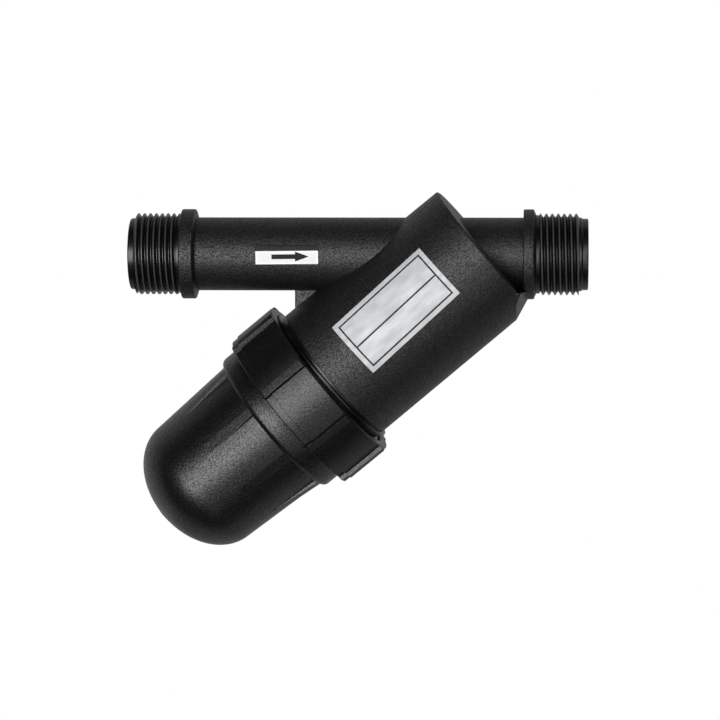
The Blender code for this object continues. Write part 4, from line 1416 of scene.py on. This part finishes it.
class DISCFILTER_OT_stage(Operator):
    """Set the camera, the lamps, the pale floor and the white surroundings"""

    bl_idname = "disc_filter.stage"
    bl_label = "Stage"

    def execute(self, context):
        self.make_camera()
        for name, place, side, power in (
            ("front_softbox", (-0.30, -1.42, -0.04), 0.95, 17.8),
            ("low_softbox", (0.58, -1.25, -0.70), 0.80, 2.0),
            ("high_softbox", (0.62, -1.30, 0.45), 0.60, 3.8),
            ("rear_softbox", (0.46, 1.42, -0.02), 0.95, 7.0),
        ):
            lamp = self.make_lamp(name, place, side, power)
        # The rear lamp shows the back's form, and would shine on every edge in front.
        lamp.visible_glossy = False
        self.make_floor()
        self.make_surroundings()
        context.scene.view_settings.view_transform = "Standard"
        return {"FINISHED"}

    def make_camera(self):
        """A long lens at the photograph's place, a little above the filter."""
        deselect()
        bpy.ops.object.camera_add(location=CAMERA_PLACE, rotation=CAMERA_TURN)
        camera = bpy.context.object
        camera.name = "photo_camera"
        camera.data.sensor_width = 36.0
        camera.data.lens = LENS
        camera.data.clip_start = 0.05
        camera.data.clip_end = 50.0
        bpy.context.scene.camera = camera

    def make_lamp(self, name, place, side, power):
        """A square softbox that faces the middle of the filter and isn't seen itself."""
        deselect()
        turn = (LIT_POINT - Vector(place)).to_track_quat("-Z", "Y").to_euler()
        bpy.ops.object.light_add(type="AREA", location=place, rotation=turn)
        lamp = bpy.context.object
        lamp.name = name
        lamp.data.shape = "SQUARE"
        lamp.data.size = side
        lamp.data.energy = power
        lamp.visible_camera = False
        return lamp

    def make_floor(self):
        """A wide pale floor below the filter, which its pipe holds up."""
        deselect()
        bpy.ops.mesh.primitive_plane_add(size=1.6, location=(0.1, 0.78, -0.9))
        floor = bpy.context.object
        floor.name = "pale_floor"
        finish = new_finish("pale_floor_paint")
        finish.set(Base_Color=(0.50, 0.50, 0.50, 1.0), Roughness=0.9)
        glow = finish.node("ShaderNodeEmission", {"Color": WHITE, "Strength": 1.0})
        paint = Value(finish, finish.shader.outputs[0])
        mixed = finish.node(
            "ShaderNodeMixShader", {0: finish.ray("Camera") * 0.9, 1: paint, 2: glow},
        )
        finish.feed(finish.tree.nodes["Material Output"].inputs["Surface"], mixed)
        floor.data.materials.append(finish.data)

    def make_surroundings(self):
        """White behind the filter, dim round the camera, and plain light for matt surfaces."""
        world = bpy.data.worlds.new("white_surroundings")
        bpy.context.scene.world = world
        finish = Finish(world)
        background = finish.tree.nodes["Background"]
        direction = finish.node("ShaderNodeTexCoord", output="Generated")
        _, y, z = finish.split(direction)
        camera, glossy, through = [
            finish.ray(kind) for kind in ("Camera", "Glossy", "Transmission")
        ]
        behind = finish.smooth_range(y, -0.05, 0.25) * (0.38 - z * 0.04)
        diffuse = (1.0 - camera.highest(glossy).highest(through)) * 0.20
        strength = camera + (glossy + through) * behind + diffuse
        finish.feed(background.inputs["Color"], WHITE)
        finish.feed(background.inputs["Strength"], strength)


class DISCFILTER_PT_panel(Panel):
    """Lists the steps that build the filter"""

    bl_label = "Inline Disc Filter"
    bl_idname = "DISCFILTER_PT_panel"
    bl_space_type = "VIEW_3D"
    bl_region_type = "UI"
    bl_category = "Disc Filter"

    def draw(self, context):
        for step in STEPS:
            self.layout.operator(step.bl_idname)


STEPS = (
    DISCFILTER_OT_stage,
    DISCFILTER_OT_housing,
    DISCFILTER_OT_cap,
    DISCFILTER_OT_cartridge,
    DISCFILTER_OT_seals,
    DISCFILTER_OT_labels,
)


def register():
    for group in GROUPS.values():
        bpy.utils.register_class(group)
    for step in STEPS:
        bpy.utils.register_class(step)
    bpy.utils.register_class(DISCFILTER_PT_panel)
    for name, group in GROUPS.items():
        setattr(bpy.types.Scene, f"disc_filter_{name}", PointerProperty(type=group))


def unregister():
    for name in GROUPS:
        delattr(bpy.types.Scene, f"disc_filter_{name}")
    bpy.utils.unregister_class(DISCFILTER_PT_panel)
    for step in reversed(STEPS):
        bpy.utils.unregister_class(step)
    for group in reversed(list(GROUPS.values())):
        bpy.utils.unregister_class(group)


def main():
    register()
    bpy.ops.disc_filter.stage()
    bpy.ops.disc_filter.housing()
    bpy.ops.disc_filter.cap()
    bpy.ops.disc_filter.cartridge()
    bpy.ops.disc_filter.seals()
    bpy.ops.disc_filter.labels()


if __name__ == "__main__":
    main()
